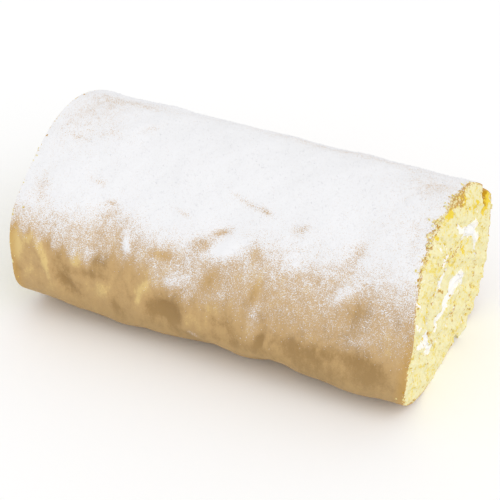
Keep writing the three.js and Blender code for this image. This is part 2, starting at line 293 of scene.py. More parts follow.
# Cream smeared over the crumb by the knife: (y, z, half length, half width, turn, cover)
SMEARS = (
    # Round the heart, and beside the turn in front of it
    (-34.5, 32.8, 5.4, 1.3, 163, 2),
    (-26.5, 26, 5.6, 1.7, 118, 2),
    (-22.5, 20, 3, 1.1, 140, 1.2),
    (-16.5, 30.2, 6.4, 1.2, 6, 1.8),
    (-6, 34, 5, 2, 20, 2.4),
    (0, 36.4, 7, 3, 5, 2.4),
    (9, 34.8, 5, 2, 146, 2),
    (-31, 31.6, 3, 1.8, 150, 2),
    # Between the turns at the top
    (-12.5, 56.5, 3.4, 1.3, 110, 1.8),
    (-14.6, 49.6, 3.2, 1.7, 60, 1.8),
    (3.5, 61, 3.4, 1, 125, 1.6),
    (9, 57.4, 4, 1.1, 145, 1.6),
    (18.5, 53, 5, 2.4, 150, 2),
    (23.5, 49, 4.4, 2.2, 125, 2),
    (27, 42.5, 4.4, 1.1, 112, 1.6),
    # Thin streaks on the outer turn
    (-20, 66, 4, 1, 130, 0.6),
    (-38, 52, 4, 1, 120, 0.6),
    (-40, 44, 4, 1, 120, 0.6),
    (-33, 61, 3, 1, 120, 0.6),
    (-27, 56, 3, 0.8, 130, 0.6),
    (-40, 59, 2.6, 1.2, 120, 0.6),
    (22, 60, 3, 1, 120, 0.4),
    (-41, 24, 3, 1, 120, 0.45),
    (-15, 65, 2.4, 0.9, 130, 0.6),
)
# Cream beside the seams: its share, and its spread in from the creamed and the browned face
SMEAR_BESIDE = 0.4
SMEAR_FROM_CREAMED = 0.05
SMEAR_FROM_BROWNED = 0.04

# Where the cream shows white on the cut faces, and isn't hidden under dragged crumb: (y, z,
# half length, half width, turn, share)
CREAM_SHOWS = (
    (-2, 35.5, 26, 9, 10, 1.6),
    (-31, 30.5, 10, 2.8, 165, 1.4),
    (-26, 24.5, 7, 4, 118, 1.4),
    (-14.5, 50, 4.6, 3.2, 60, 1.2),
    (6.5, 58, 5.4, 3, 145, 1),
    (19, 52.5, 7, 4.4, 140, 1.4),
    (25.5, 43, 5, 2.6, 115, 1.1),
)
DRAGGED_MOST = 0.92
DRAGGED_LEAST = 0.03

# The icing sugar. Its lower border on the front: (x, girth of half cover, how softly it fades)
SUGAR_LINE = (
    (-88, 121, 2.4),
    (-60, 120, 2.8),
    (-42, 117, 3.4),
    (-20, 121, 2.8),
    (0, 118, 3.6),
    (20, 115.5, 4.4),
    (35, 115.5, 4.8),
    (60, 114, 4.8),
    (88, 116, 5),
)
# The thin veil of sugar below it: (x, girth where it ends, softness of that edge, cover)
SUGAR_VEIL = (
    (-88, 128.5, 0.8, 0.42),
    (-76, 129.5, 0.7, 0.44),
    (-62, 133, 0.8, 0.46),
    (-51, 136, 0.9, 0.4),
    (-42, 131.5, 1.2, 0.3),
    (-28, 131, 1.5, 0.34),
    (-18, 136, 1.6, 0.4),
    (-6, 140, 2, 0.4),
    (8, 137, 2.6, 0.28),
    (24, 140, 3.4, 0.24),
    (45, 142, 4.4, 0.26),
    (65, 143, 5, 0.28),
    (88, 138, 5, 0.26),
)
# Waves of the veil's edge: (length, height, phase)
VEIL_WAVES = ((7.3, 1.6, 0.4), (3.1, 0.8, 2.2))
# The border on the back, and the girth past which the skin counts as back
BACK_FROM = 0.75 * WHOLE_GIRTH
SUGAR_LINE_BACK = 16
SUGAR_FADE_BACK = 6
SUGAR_FULL = 0.92
# Bare spots and streaks in the sugar: (x, girth, long, wide, turn, cover added)
SUGAR_SPOTS = (
    # White streaks and heaps below the border
    (-34, 125.5, 4.2, 1.3, 78, 0.6),
    (6.5, 117.5, 5.5, 2.8, -32, 0.6),
    (-12, 134, 9, 2.2, -24, 0.3),
    (22.5, 142, 9, 2.4, 98, 0.2),
    (56, 122.5, 5.5, 2.2, -48, 0.4),
    (65, 139.5, 8, 2.4, -30, 0.14),
    (-49, 132, 3.6, 1.9, -38, 0.1),
    (-4, 164, 3, 1.4, 60, 0.3),
    (34, 116, 4, 2.4, -10, 0.2),
    (8, 135, 6, 2, -30, 0.14),
    # Rubbed and bare spots
    (17.5, 99, 3, 1, 20, -0.7),
    (10, 98, 7, 1, 16, -0.35),
    (2.5, 95.5, 3, 0.7, 30, -0.18),
    (33.5, 102.5, 3.4, 2, -20, -0.42),
    (-15, 108.5, 4, 1, 15, -0.35),
    (3, 111.5, 4, 1.5, -26, -0.5),
    (57, 107, 6.5, 3, 100, -0.32),
    (19, 115.5, 4, 2.4, 60, -0.3),
    (-3, 117.5, 4.6, 2.4, -28, -0.4),
    (-42, 116, 6, 3, 0, -0.12),
    (-18, 125.5, 5.5, 2, 0, -0.4),
    (63, 127, 6, 3.4, -50, -0.22),
    (22.5, 130, 5, 1.8, 100, -0.3),
    (3, 130, 5, 2.6, -55, -0.3),
    (-70, 68, 12, 10, 20, -0.22),
    (-78, 80, 6, 16, 0, -0.12),
    (-68, 84, 14, 12, 0, -0.12),
    (-76, 112, 6, 4, 70, -0.26),
    (-55, 105, 4, 1.4, 10, -0.34),
    (-45, 112, 3, 1.5, 0, -0.3),
    (-71, 89, 5, 1.2, 0, -0.24),
    (-44, 76, 2, 5, 30, -0.16),
    (-56, 84, 5, 3, 0, -0.16),
    (74, 68, 14, 9, 0, -0.28),
    (70, 92, 16, 12, 0, -0.1),
    (79, 92, 5, 12, 0, -0.14),
    (30, 54, 50, 6, 0, -0.24),
    (62, 150, 15, 7, 0, -0.08),
    (-60, 60, 20, 4, 0, -0.28),
)
# Loose grains and clumps: heights in metres between which they begin, clear of the floor; how
# the cover thins the grains out and gathers the clumps; and the form of a lump of sugar
SUGAR_CLEAR = (0.002, 0.005)
GRAINS_FROM_COVER = 0.003
GRAINS_GAIN = 4
GRAINS_GONE_AT = 1.1
CLUMPS_GAIN = 1.4
CLUMPS_LOSS = 0.4
SUGAR_UNEVEN = 0.25
SUGAR_LIFT = 0.1

# Lighter and darker places of the skin: its own mottling, with painted highlight on folds and
# painted shade in dents and creases. (x, girth, long, wide, turn, lighter)
SKIN_TONES_AND_PAINTED_LIGHT = (
    # Far end: yellow folds with painted highlight, and painted shade in the valleys between them
    (-83, 136, 5.5, 3.8, 84, 2.2),
    (-84, 150, 7, 4, 100, -0.9),
    (-77.5, 148, 6, 2.4, 100, 0.8),
    (-76, 137, 5, 3, 70, -0.6),
    (-77, 132, 2.6, 0.9, 40, 0.7),
    (-70.8, 133.5, 4, 1, 55, 1.5),
    (-68, 141, 6, 1.1, 86, 1.2),
    (-67, 152, 9, 2.6, 86, 0.6),
    (-62, 147, 7, 3, 70, -1.3),
    (-56.5, 158, 9, 3.6, 74, -1),
    (-55, 135.5, 4.4, 2.4, 110, 1.4),
    (-50, 141, 8, 2.2, 0, -1.1),
    (-44.5, 135, 3.6, 3.4, 90, -0.8),
    (-43.6, 148.5, 6.4, 2.6, 88, 1.2),
    (-49.5, 150, 6, 2.2, 78, 0.4),
    (-38.5, 160, 8, 3, 86, -0.9),
    (-33, 142, 6, 6, 0, -0.5),
    # Round the deepest dent: its darker tan, deepened with painted shade, and painted highlight on
    # its lips
    (-25, 140, 4.4, 1.3, 128, 1.5),
    (-27.6, 149, 6, 1.3, 98, 1.3),
    (-16, 151, 7.4, 8, 0, -1.9),
    (-14, 154, 5, 4.6, 0, -1.2),
    (-5, 152, 2.2, 8, 0, 1.1),
    (1, 155, 6, 8, 0, 0.6),
    (-14, 165, 14, 4, 0, -0.6),
    (5, 141, 6, 4, 0, 0.7),
    (2.5, 133, 5.4, 2.8, -60, -0.7),
    # Towards the cut end
    (21, 133, 6, 1.8, 100, -0.9),
    (25.8, 153.5, 5.6, 1.3, 104, -2.4),
    (29, 151, 5, 1.3, 100, 0.6),
    (21.5, 156, 7, 1.8, 98, 0.4),
    (9, 149, 6, 5, 0, -0.5),
    (12, 160, 12, 5, 0, -0.6),
    (39, 151, 7, 5, 0, -0.7),
    (65, 128, 7, 4, -40, -0.2),
    (67, 151, 11, 4, -10, -0.5),
    (47, 143, 10, 6, -20, 0.3),
    (82, 128, 5, 9, 0, -0.5),
    (50, 159, 38, 17, 0, -1.1),
    (72, 158, 12, 5, -20, -0.6),
    (20, 168, 18, 4, 0, 0.5),
)

# Painted light on the skin: how much lighter it is painted for each millimetre that it stands out, a
# painted highlight on folds and painted shade in dents
FOLD_PAINTED_LIGHT = 0.3

# Tones of the back, drawn at random: how many, between which girths, and the sizes
BACK_TONES = 34
BACK_TONE_SEED = 12
BACK_GIRTHS = (205, 284)
BACK_TONE_LONG = (3, 9)
BACK_TONE_WIDE = (1.5, 4)
BACK_TONE_TURN = (40, 140)
BACK_TONE_MOST = 1.1

# Torn flakes of skin: (end, girth, back from the cut, heading, long, wide, lift, curl)
FLAKES = (
    (1, 63.6, 0, 185, 2.4, 2.4, 0.5, 0.5),
    (1, 67, 0.2, 190, 1.8, 1.6, 0.5, 0.6),
    (1, 70.6, 0, 170, 2, 1.6, 0.6, 0.8),
    (1, 72.4, 0, 180, 3, 2.4, 0.6, 0.5),
    (1, 74.6, 0, 200, 2.4, 1.8, 0.7, 0.7),
    (1, 84.6, 0, 200, 2.4, 1.6, 0.5, 0.6),
    (1, 88, 0, 206, 5, 1.8, 0.7, 0.3),
    (1, 92, 3, 250, 2, 0.8, 0.8, 1.5),
    (1, 96.8, 0.4, 226, 5, 1.3, 0.9, 0.4),
    (1, 95.6, -0.4, 140, 1.8, 1.2, 0.6, 0.6),
    (1, 99, 0.6, 190, 2, 1.3, 0.6, 0.7),
    (1, 100.6, 0, 170, 2, 1.4, 0.7, 0.8),
    (1, 102, 0.6, 205, 2.4, 1.3, 0.6, 0.6),
    (1, 105.2, 0, 185, 2.8, 1.9, 0.6, 0.5),
    (1, 106.8, 0.2, 168, 2, 1.4, 0.7, 0.7),
    (1, 109, 0, 190, 2.2, 1.8, 0.5, 0.6),
    (1, 111.4, 0.2, 175, 1.6, 1.2, 0.5, 0.8),
    (1, 162, 0.2, 200, 1.6, 0.8, 0.3, 0.8),
    (-1, 92, 0.6, 20, 2.2, 1, 0.4, 0.8),
    (-1, 64, 0.5, 0, 2, 1, 0.4, 0.8),
)
# Skin torn to golden crumb and crumbled beside the cut at +X: (x, girth, long, wide, turn, share)
TORN_BITS = (
    (85.6, 62.6, 1.8, 3, 0, 1),
    (84.8, 72.8, 2, 2.6, 0, 1.3),
    (84.4, 84.6, 1.6, 1.2, 0, 0.7),
    (83.6, 87, 3, 1, 27, 1.3),
    (81.5, 91.2, 0.7, 0.7, 0, 0.9),
    (82.2, 94.2, 2.4, 0.6, 46, 1.2),
    (83.2, 95.4, 0.9, 0.9, 0, 1.5),
    (84.4, 99.4, 1.4, 1.4, 0, 0.8),
    (84.4, 101.2, 1.6, 1.2, 0, 1.2),
    (83.8, 105.6, 1.7, 1.6, 0, 1.4),
    (84.1, 109, 1.1, 1.6, 0, 1.2),
    (84.2, 111.4, 0.8, 0.9, 0, 0.8),
)
FLAKE_THICKNESS = 0.32
FLAKE_SPANS = (10, 6)
# The form of a flake: how much it narrows, its ragged sides (height, teeth, knots from one flake
# to the next), how much of the curl lifts it, its ripples (height, across, along, knots, seed)
# and its thin sides (share of the thickness, gain inwards)
FLAKE_TAPER = 0.55
FLAKE_RAGGED = (0.18, 4, 9)
FLAKE_CURL_RISE = 0.8
FLAKE_RIPPLES = (0.25, 5, 3, 17, 40)
FLAKE_SIDES = (0.3, 6)

# Skin torn off beside a cut, on a plain rim and what the torn top adds: reach and share. The
# skin is smooth up to some way from the rim, and dry of crumbs and wrinkles where it rests.
TORN_REACH = (0.25, 1.9)
TORN_SHARE = (0.35, 0.65)
SMOOTH_RIM = 2
ABOVE_REST = (0.5, 6)
# Loose crumbs: how far they lie from the rim, how many along a plain rim, on the cut faces and
# on torn bits; and the form and the seed of a crumb
LOOSE_REACH = 1.3
LOOSE_PLAIN_RIM = 0.03
LOOSE_ON_CUTS = 0.1
LOOSE_ON_BITS = 0.7
CRUMB_UNEVEN = 0.35
CRUMB_SEED = 21

# Pores in the cut faces: the chance that a cell has one, the size and depth of the small ones
# against the large ones, and the smallest and largest radius against the cell
LARGE_PORE_CHANCE = 0.42
SMALL_PORE_CHANCE = 0.5
SMALL_PORE_SIZE = 0.45
SMALL_PORE_DEPTH = 0.55
PORE_RADII = (0.04, 0.62)
# Angle in degrees from which an edge of the sponge is shaded as a sharp one
SHARP_EDGE = 58

# The broad light: the direction it comes from and its width in degrees
KEY_FROM = (0.75, -0.3, 0.8)
KEY_WIDTH = 60
# Width of the camera's sensor in millimetres
SENSOR_WIDTH = 36.0


# --- Shape functions ---------------------------------------------------------------------------


def mix(a, b, share):
    return a + (b - a) * share


def ease(value, start, end):
    share = np.clip((value - start) / (end - start), 0, 1)
    return share * share * (3 - 2 * share)


def bell(distance, spread):
    return np.exp(-((distance / spread) ** 2))


def oval_reach(along, across, long, wide, turn):
    """Squared distance from the middle of a turned oval, 1 on its edge."""
    c = math.cos(turn * RADIAN)
    s = math.sin(turn * RADIAN)
    return ((along * c + across * s) / long) ** 2 + ((across * c - along * s) / wide) ** 2


def oval_bell(*oval):
    """A soft oval spot, turned by some degrees."""
    return np.exp(-oval_reach(*oval))


def oval_pit(*oval):
    """An oval spot with a flat middle and steep sides."""
    return np.exp(-oval_reach(*oval) ** 2)


def rough_line(place, spacing, seed):
    """Smooth random heights from -1 to 1 along a line, a new one at each spacing."""
    knots = np.random.default_rng(seed).uniform(-1, 1, ROUGH_KNOTS)
    at = np.asarray(place) / spacing
    low = np.floor(at).astype(int)
    share = ease(at - low, 0, 1)
    return mix(knots[low % ROUGH_KNOTS], knots[(low + 1) % ROUGH_KNOTS], share)


def oval_direction(winding, squareness):
    c = np.cos(winding * RADIAN)
    s = -np.sin(winding * RADIAN)
    size = (np.abs(c) ** squareness + np.abs(s) ** squareness) ** (1 / squareness)
    return c / size, s / size


def outline(winding):
    """Outer outline of the section: a flattened oval, sagged under its own weight."""
    below = np.sin(winding * RADIAN) > 0
    shoulders = SLOPING_SHOULDERS * np.sin(2 * winding * RADIAN) ** 2
    c, s = oval_direction(winding, np.where(below, UNDERSIDE_SQUARENESS, 2 - shoulders))
    reach = np.where(below, UNDERSIDE, HEIGHT - MIDDLE)
    return WIDTH / 2 * c, MIDDLE + reach * s + BACK_LIFT * c * (1 - np.abs(s))


def seam(winding):
    """Seam between the outer turn and the inner turn: an oval that rises to the back."""
    c, s = oval_direction(winding, SEAM_SQUARENESS)
    along = c * SEAM_HALF_LENGTH
    rise = s * np.where(s > 0, SEAM_UP, SEAM_DOWN)
    tilt_c = math.cos(SEAM_TILT * RADIAN)
    tilt_s = math.sin(SEAM_TILT * RADIAN)
    y = SEAM_CENTRE[0] + along * tilt_c - rise * tilt_s
    return y, SEAM_CENTRE[1] + along * tilt_s + rise * tilt_c


def heart(winding):
    """Face of the sponge round the heart of cream."""
    c, s = oval_direction(winding, HEART_SQUARENESS)
    y = HEART_CENTRE[0] + HEART_HALF_WIDTH * c
    arch = HEART_ARCH_RISE * bell(y - HEART_ARCH_Y, HEART_ARCH_SPREAD)
    half = mix(HEART_HALF_THIN, HEART_HALF_THICK, ease(y, HEART_THIN_TO, HEART_THICK_FROM))
    return y, HEART_CENTRE[1] + arch + half * s


def mix_pairs(first, second, share):
    return mix(first[0], second[0], share), mix(first[1], second[1], share)


def wall(winding):
    """Surface between a turn of the sheet and the next one out."""
    inside = mix_pairs(heart(winding), seam(winding), ease(winding, 0, SEAM_REACHED - TURN))
    share = ease(winding, OUTSIDE_FROM, OUTSIDE_REACHED)
    outside = mix_pairs(seam(winding), outline(winding), share)
    early = winding < SEAM_REACHED - TURN
    return np.where(early, inside[0], outside[0]), np.where(early, inside[1], outside[1])


def creamed_face(winding):
    return wall(winding - TURN)


def cream_depth(winding):
    return CREAM_THIN + sum(e * bell(winding - w, s) for w, s, e in CREAM_POCKETS)


def browned_face(winding):
    """Browned face of the sheet: under the next turn by the depth of the cream."""
    y, z = wall(winding)
    before = wall(winding - 1)
    after = wall(winding + 1)
    along_y = after[0] - before[0]
    along_z = after[1] - before[1]
    size = np.hypot(along_y, along_z)
    covered = 1 - ease(winding, SKIN_FROM, SKIN_FROM + STEP_RISE)
    depth = cream_depth(winding + TURN) * covered
    return y + along_z / size * depth, z - along_y / size * depth


def girth_of(winding):
    return (2 * TURN - winding % TURN) % TURN * GIRTH_PER_DEGREE


def winding_of(girth):
    """Winding on the skin at a girth."""
    winding = (2 * TURN - girth / GIRTH_PER_DEGREE) % TURN
    return np.where(winding < SKIN_FROM % TURN, winding + 2 * TURN, winding + TURN)


def girth_between(a, b):
    return (a - b + 1.5 * WHOLE_GIRTH) % WHOLE_GIRTH - WHOLE_GIRTH / 2


def placed(y, z, winding, x):
    """Carries a point of the section to its place along the roll, with the slow swells."""
    girth = girth_of(winding)
    out = sum(o * bell(x - sx, ax) * bell(girth_between(girth, g), r) for sx, g, ax, r, o in SWELLS)
    rim_y, rim_z = outline(winding)
    scale = 1 + out / np.hypot(rim_y, rim_z - MIDDLE)
    return y * scale, MIDDLE + (z - MIDDLE) * scale


def skin_relief(x, winding):
    """Height of the skin's dents, folds and waves."""
    girth = girth_of(winding)
    height = 0 * x
    for dent_x, dent_girth, long, wide, turn, out in DENTS:
        across = girth_between(girth, dent_girth)
        height = height + out * oval_bell(x - dent_x, across, long, wide, turn)
    for along, round_, phase, rise in WAVES:
        height = height + rise * np.sin(FULL_CIRCLE * (x / along + girth / round_) + phase)
    past_step = ease(winding, SKIN_FROM, SKIN_FROM + FADE_PAST_STEP)
    before_end = ease(winding, TUCKED_END, TUCKED_END - FADE_BEFORE_END)
    return height * past_step * before_end


def sheet_point(winding, depth, x):
    """A point of the sponge at a share of the sheet's thickness in from its browned face."""
    outer = browned_face(winding)
    inner = creamed_face(winding)
    y, z = placed(mix(outer[0], inner[0], depth), mix(outer[1], inner[1], depth), winding, x)
    on_skin = np.where(winding >= SKIN_FROM, (1 - depth) ** 2, 0)
    rise = z - MIDDLE
    scale = 1 + on_skin * skin_relief(x, winding) / np.maximum(np.hypot(y, rise), 1)
    return y * scale, np.maximum(0, MIDDLE + rise * scale)


def crumb_relief(side, y, z, depth):
    """How far a cut face stands beyond the nominal end of the roll."""
    out = CRUMB_DOME * np.sin(math.pi * depth) - CRUMB_DOME_SUNK
    torn = ease(depth, 0, TEARS_WITHIN)
    for along_y, along_z, phase, height in CRUMB_TEARS:
        cycles = y / along_y + z / along_z
        out = out + torn * height * np.sin(FULL_CIRCLE * cycles + phase + side)
    for hollow_y, hollow_z, radius, deep in CRUMB_HOLLOWS:
        out = out - deep * bell(np.hypot(y - hollow_y, z - hollow_z), radius)
    for slot_y, slot_z, long, wide, turn, deep in CRUMB_SLOTS:
        out = out - deep * oval_pit(y - slot_y, z - slot_z, long, wide, turn)
    return out


def torn_top(side, girth):
    """How much the rim is torn: over the top of the cut at +X, where the knife dragged it."""
    return (side > 0) * bell(girth_between(girth, TORN_TOP[0]), TORN_TOP[1])


def rim_tear(side, winding, depth):
    """How far the skin is torn back from the cut, with a ragged edge."""
    girth = girth_of(winding)
    torn = sum(back * bell(girth_between(girth, g), spread) for g, spread, back in RIM_TEARS)
    ragged = 0
    for size, deep, seed in RAGGED_TEETH:
        ragged = ragged + deep * (0.5 + 0.5 * rough_line(girth, size, seed + side))
    ragged = ragged * (RAGGED_SMOOTH + RAGGED_TOP * torn_top(side, girth))
    tear = (side > 0) * torn * np.maximum(0, 1 - depth / RIM_DEPTH)
    tear = tear + ragged * np.maximum(0, 1 - depth / RAGGED_DEPTH)
    return np.where(winding >= SKIN_FROM, tear, 0)


def end_x(side, winding, depth):
    y, z = sheet_point(winding, depth, side * LENGTH / 2 + 0 * winding)
    return side * (LENGTH / 2 + crumb_relief(side, y, z, depth) - rim_tear(side, winding, depth))


def falling(value, middle, softness):
    """Falls softly from 1 below a middle to 0 above it."""
    flat_beyond = 30
    steps = np.clip((value - middle) / softness, -flat_beyond, flat_beyond)
    return 1 / (1 + np.exp(steps))


def spots(table, x, girth):
    """Sum of the soft oval spots of a table at places on the skin."""
    total = 0 * x
    for spot_x, spot_girth, long, wide, turn, height in table:
        across = girth_between(girth, spot_girth)
        total = total + height * oval_bell(x - spot_x, across, long, wide, turn)
    return total


def back_tones():
    """Soft lighter and darker spots on the back, in the form of the table of skin tones."""
    draw = np.random.default_rng(BACK_TONE_SEED)
    places = draw.uniform(-LENGTH / 2, LENGTH / 2, BACK_TONES)
    girths = draw.uniform(*BACK_GIRTHS, BACK_TONES)
    long = draw.uniform(*BACK_TONE_LONG, BACK_TONES)
    wide = draw.uniform(*BACK_TONE_WIDE, BACK_TONES)
    turns = draw.uniform(*BACK_TONE_TURN, BACK_TONES)
    lighter = draw.uniform(-BACK_TONE_MOST, BACK_TONE_MOST, BACK_TONES)
    return zip(places, girths, long, wide, turns, lighter)


def sugar_cover(x, girth):
    """Share of the skin that icing sugar covers."""
    signed = np.where(girth < BACK_FROM, girth, girth - WHOLE_GIRTH)
    places, middles, fades = np.array(SUGAR_LINE).T
    front = falling(signed, np.interp(x, places, middles), np.interp(x, places, fades))
    places, ends, edges, covers = np.array(SUGAR_VEIL).T
    end = np.interp(x, places, ends)
    for length, height, phase in VEIL_WAVES:
        end = end + height * np.sin(FULL_CIRCLE * x / length + phase)
    veil = np.interp(x, places, covers) * falling(signed, end, np.interp(x, places, edges))
    back = falling(-signed, -SUGAR_LINE_BACK, SUGAR_FADE_BACK)
    cover = (1 - (1 - front) * (1 - veil)) * back
    return np.clip(SUGAR_FULL * cover + spots(SUGAR_SPOTS, x, girth), 0, 1)


# --- Meshes ------------------------------------------------------------------------------------


class Surface:
    """Collects the points and faces of one closed surface."""

    def __init__(self):
        self.points = []
        self.count = 0
        self.faces = []

    def add(self, points):
        """Adds an array of points and returns their numbers in the same shape."""
        flat = np.reshape(points, (-1, 3))
        numbers = np.arange(self.count, self.count + len(flat)).reshape(points.shape[:-1])
        self.points.append(flat)
        self.count += len(flat)
        return numbers

    def stitch(self, row, following):
        """Joins two rows of points that run the same way, whatever number each row has."""
        if len(row) == len(following):
            quads = np.stack([row[:-1], row[1:], following[1:], following[:-1]], axis=-1)
            self.faces.extend(map(tuple, quads.tolist()))
            return
        i = j = 0
        last_i = len(row) - 1
        last_j = len(following) - 1
        while i < last_i or j < last_j:
            if (i + 1) * last_j <= (j + 1) * last_i:
                self.faces.append((int(row[i]), int(row[i + 1]), int(following[j])))
                i += 1
            else:
                self.faces.append((int(row[i]), int(following[j + 1]), int(following[j])))
                j += 1

    def close_end(self, side, numbers):
        """Covers an end with faces between a grid of points, turned outwards."""
        a, b = numbers[:-1, :-1], numbers[:-1, 1:]
        c, d = numbers[1:, :-1], numbers[1:, 1:]
        order = (a, b, d, c) if side > 0 else (a, c, d, b)
        self.faces.extend(map(tuple, np.stack(order, -1).reshape(-1, 4).tolist()))

    def mesh(self, name, shift):
        """A Blender mesh of the surface, moved by a shift in millimetres."""
        made = bpy.data.meshes.new(name)
        points = (np.concatenate(self.points) + shift) * MM
        made.from_pydata(points, [], self.faces, shade_flat=False)
        made.validate()
        return made


def spaced(start, end, size, even=False):
    """Equal steps of at most a size, without the end."""
    count = math.ceil((end - start) / size)
    if even and count % 2:
        count += 1
    return start + (end - start) * np.arange(count) / count


def set_attribute(mesh, name, values, domain="POINT", kind="FLOAT"):
    made = mesh.attributes.new(name, kind, domain)
    made.data.foreach_set("value", np.ascontiguousarray(values).ravel())


class Sheet:
    """The rolled sheet of sponge as one closed mesh, with what its materials need to know."""

    def __init__(self):
        inner = spaced(SHEET_START, SKIN_FROM, INNER_STEP)
        outer = spaced(SKIN_FROM, TUCKED_END, SKIN_STEP, even=True)
        self.windings = np.concatenate([inner, outer, [TUCKED_END]])
        self.first_skin = len(inner)
        self.depths = np.arange(CRUMB_LAYERS + 1) / CRUMB_LAYERS
        self.surface = Surface()
        self.facts = {"winding": [], "depth": [], "side": [], "skin": [], "rim": []}
        self.ends = {side: self.end_points(side) for side in (-1, 1)}
        self.join_length()
        for side, (numbers, _) in self.ends.items():
            self.surface.close_end(side, numbers)

    def note(self, winding, depth, side, skin, rim):
        size = np.size(winding)
        for name, value in zip(self.facts, (winding, depth, side, skin, rim)):
            self.facts[name].append(np.broadcast_to(np.asarray(value, float).ravel(), (size,)))

    def end_points(self, side):
        winding, depth = np.meshgrid(self.windings, self.depths, indexing="ij")
        x = end_x(side, winding, depth)
        y, z = sheet_point(winding, depth, x)
        self.note(winding, depth, side, 0, 0)
        return self.surface.add(np.stack([x, y, z], axis=-1)), x

    def long_row(self, i, j, spans):
        """Numbers of the points from one end to the other at a step along and a layer across."""
        (left, left_x), (right, right_x) = self.ends[-1], self.ends[1]
        share = np.arange(1, spans) / spans
        x = mix(left_x[i, j], right_x[i, j], share)
        winding = self.windings[i] + 0 * x
        depth = self.depths[j]
        y, z = sheet_point(winding, depth, x)
        skin = float(spans == SKIN_COLUMNS)
        rim = np.minimum(x - left_x[i, j], right_x[i, j] - x)
        self.note(winding, depth, 0, skin, rim)
        between = self.surface.add(np.stack([x, y, z], axis=-1))
        return np.concatenate([[left[i, j]], between, [right[i, j]]])

    def join_length(self):
        """Makes the faces that run the length of the roll: skin, free edge and inner walls."""
        last = len(self.windings) - 1
        layers = CRUMB_LAYERS
        skin_rows = range(self.first_skin, last + 1, 2)
        skin = [self.long_row(i, 0, SKIN_COLUMNS) for i in skin_rows]
        for i, row, following in zip(skin_rows, skin, skin[1:]):
            self.join_skin(i, row, following)
        self.browned_faces = len(self.surface.faces)
        path = [(i, layers) for i in range(last, -1, -1)]
        path = [(last, j) for j in range(1, layers)] + path
        path += [(0, j) for j in range(layers - 1, -1, -1)]
        path += [(i, 0) for i in range(1, self.first_skin)]
        rows = [skin[-1], *(self.long_row(i, j, INNER_SPANS) for i, j in path), skin[0]]
        for row, following in zip(rows, rows[1:]):
            self.surface.stitch(row, following)

    def join_skin(self, i, row, following):
        """Joins two rows of the skin, with the finer points of both cuts between them."""
        left = int(self.ends[-1][0][i + 1, 0])
        right = int(self.ends[1][0][i + 1, 0])
        a, b = row.tolist(), following.tolist()
        self.surface.faces.append((a[0], a[1], b[1], b[0], left))
        self.surface.stitch(row[1:-1], following[1:-1])
        self.surface.faces.append((a[-2], a[-1], right, b[-1], b[-2]))

    def mesh(self):
        """The Blender mesh, with its attributes, and the shift that brings it to the frame."""
        points = np.concatenate(self.surface.points)
        facts = {name: np.concatenate(values) for name, values in self.facts.items()}
        low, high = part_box("sponge")
        wanted = (np.array(low) + np.array(high)) / 2 / MM
        shift = wanted - (points.min(axis=0) + points.max(axis=0)) / 2
        shift[2] = 0
        made = self.surface.mesh("rolled_sponge", shift)
        x, y, z = points.T
        girth = girth_of(facts["winding"])
        outer = facts["winding"] >= SKIN_FROM
        on_skin = outer & (facts["depth"] == 0)
        side = facts["side"]
        cut = np.abs(side)
        top = torn_top(np.where(side == 0, np.sign(x), side), girth)
        level_rim = ROUGH_WITHIN + ROUGH_GAIN * ease(y, *ROUGH_GAINS_OVER)
        near_rim = np.where(outer, ease(facts["depth"], 0, level_rim), 1)
        fold = on_skin * skin_relief(x, facts["winding"])
        above_rest = ease(z, *ABOVE_REST)
        set_attribute(made, "side", side)
        set_attribute(made, "crumb", cut * near_rim)
        smooth_rim = ease(facts["rim"], 0, SMOOTH_RIM)
        set_attribute(made, "skin", facts["skin"] * smooth_rim * above_rest)
        set_attribute(made, "rim", facts["rim"])
        bits = on_skin * spots(TORN_BITS, x, girth)
        set_attribute(made, "torn", np.clip(torn_skin(facts, top) + bits, 0, 1))
        set_attribute(made, "crust", cut * crust_cover(facts, y, z, top))
        set_attribute(made, "golden", golden_cover(side, y, z))
        # The tone carries the skin's own mottling with the painted highlight on folds and painted
        # shade in dents
        tone = spots(SKIN_TONES_AND_PAINTED_LIGHT, x, girth) + spots(back_tones(), x, girth)
        set_attribute(made, "tone", FOLD_PAINTED_LIGHT * fold + on_skin * tone)
        set_attribute(made, "sugar", on_skin * sugar_cover(x, girth))
        set_attribute(made, "smear", cut * smear_cover(facts, y, z))
        loose = loose_cover(facts, top, on_skin) + LOOSE_ON_BITS * bits
        set_attribute(made, "loose", above_rest * loose)
        browned = np.arange(len(made.polygons)) < self.browned_faces
        set_attribute(made, "browned", browned, "FACE", "BOOLEAN")
        return made, shift


def ovals(table, y, z, most=1):
    """Sum of the soft oval patches of a table at places on the cut faces."""
    total = 0 * y
    for patch_y, patch_z, long, wide, turn, share in table:
        total = total + share * oval_bell(y - patch_y, z - patch_z, long, wide, turn)
    return np.clip(total, 0, most)


def golden_cover(side, y, z):
    """Share of the crumb painted golden where it is torn, partly painted shade in the tears, most of
    all at +X.
    """
    share = np.where(side > 0, 1, GOLDEN_FAR_END * np.abs(side))
    return share * ovals(GOLDEN_TEARS, y, z, GOLDEN_MOST)


def torn_skin(facts, top):
    """Share of the skin beside a cut that is torn off down to the crumb."""
    reach = TORN_REACH[0] + TORN_REACH[1] * top
    return np.clip(1 - facts["rim"] / reach, 0, 1) * (TORN_SHARE[0] + TORN_SHARE[1] * top)


def crust_cover(facts, y, z, top):
    """Share of a cut face that shows brown crust: its rim, and specks between the turns."""
    outer = facts["winding"] >= SKIN_FROM
    girth = girth_of(facts["winding"])
    chunky = (facts["side"] > 0) * bell(girth_between(girth, CHUNKY_RIM[0]), CHUNKY_RIM[1])
    share, spread = CRUST_LINE
    line = (share - CRUST_LOST_ON_TOP * top) * bell(facts["depth"], spread)
    share, spread = CHUNKY_CRUST
    rim = outer * (line + share * chunky * bell(facts["depth"], spread))
    share, spread = CRUST_BETWEEN
    between = share * (1 - outer) * bell(facts["depth"], spread)
    return np.clip(rim + between + ovals(BROWN_CRUMBS, y, z), 0, 1)


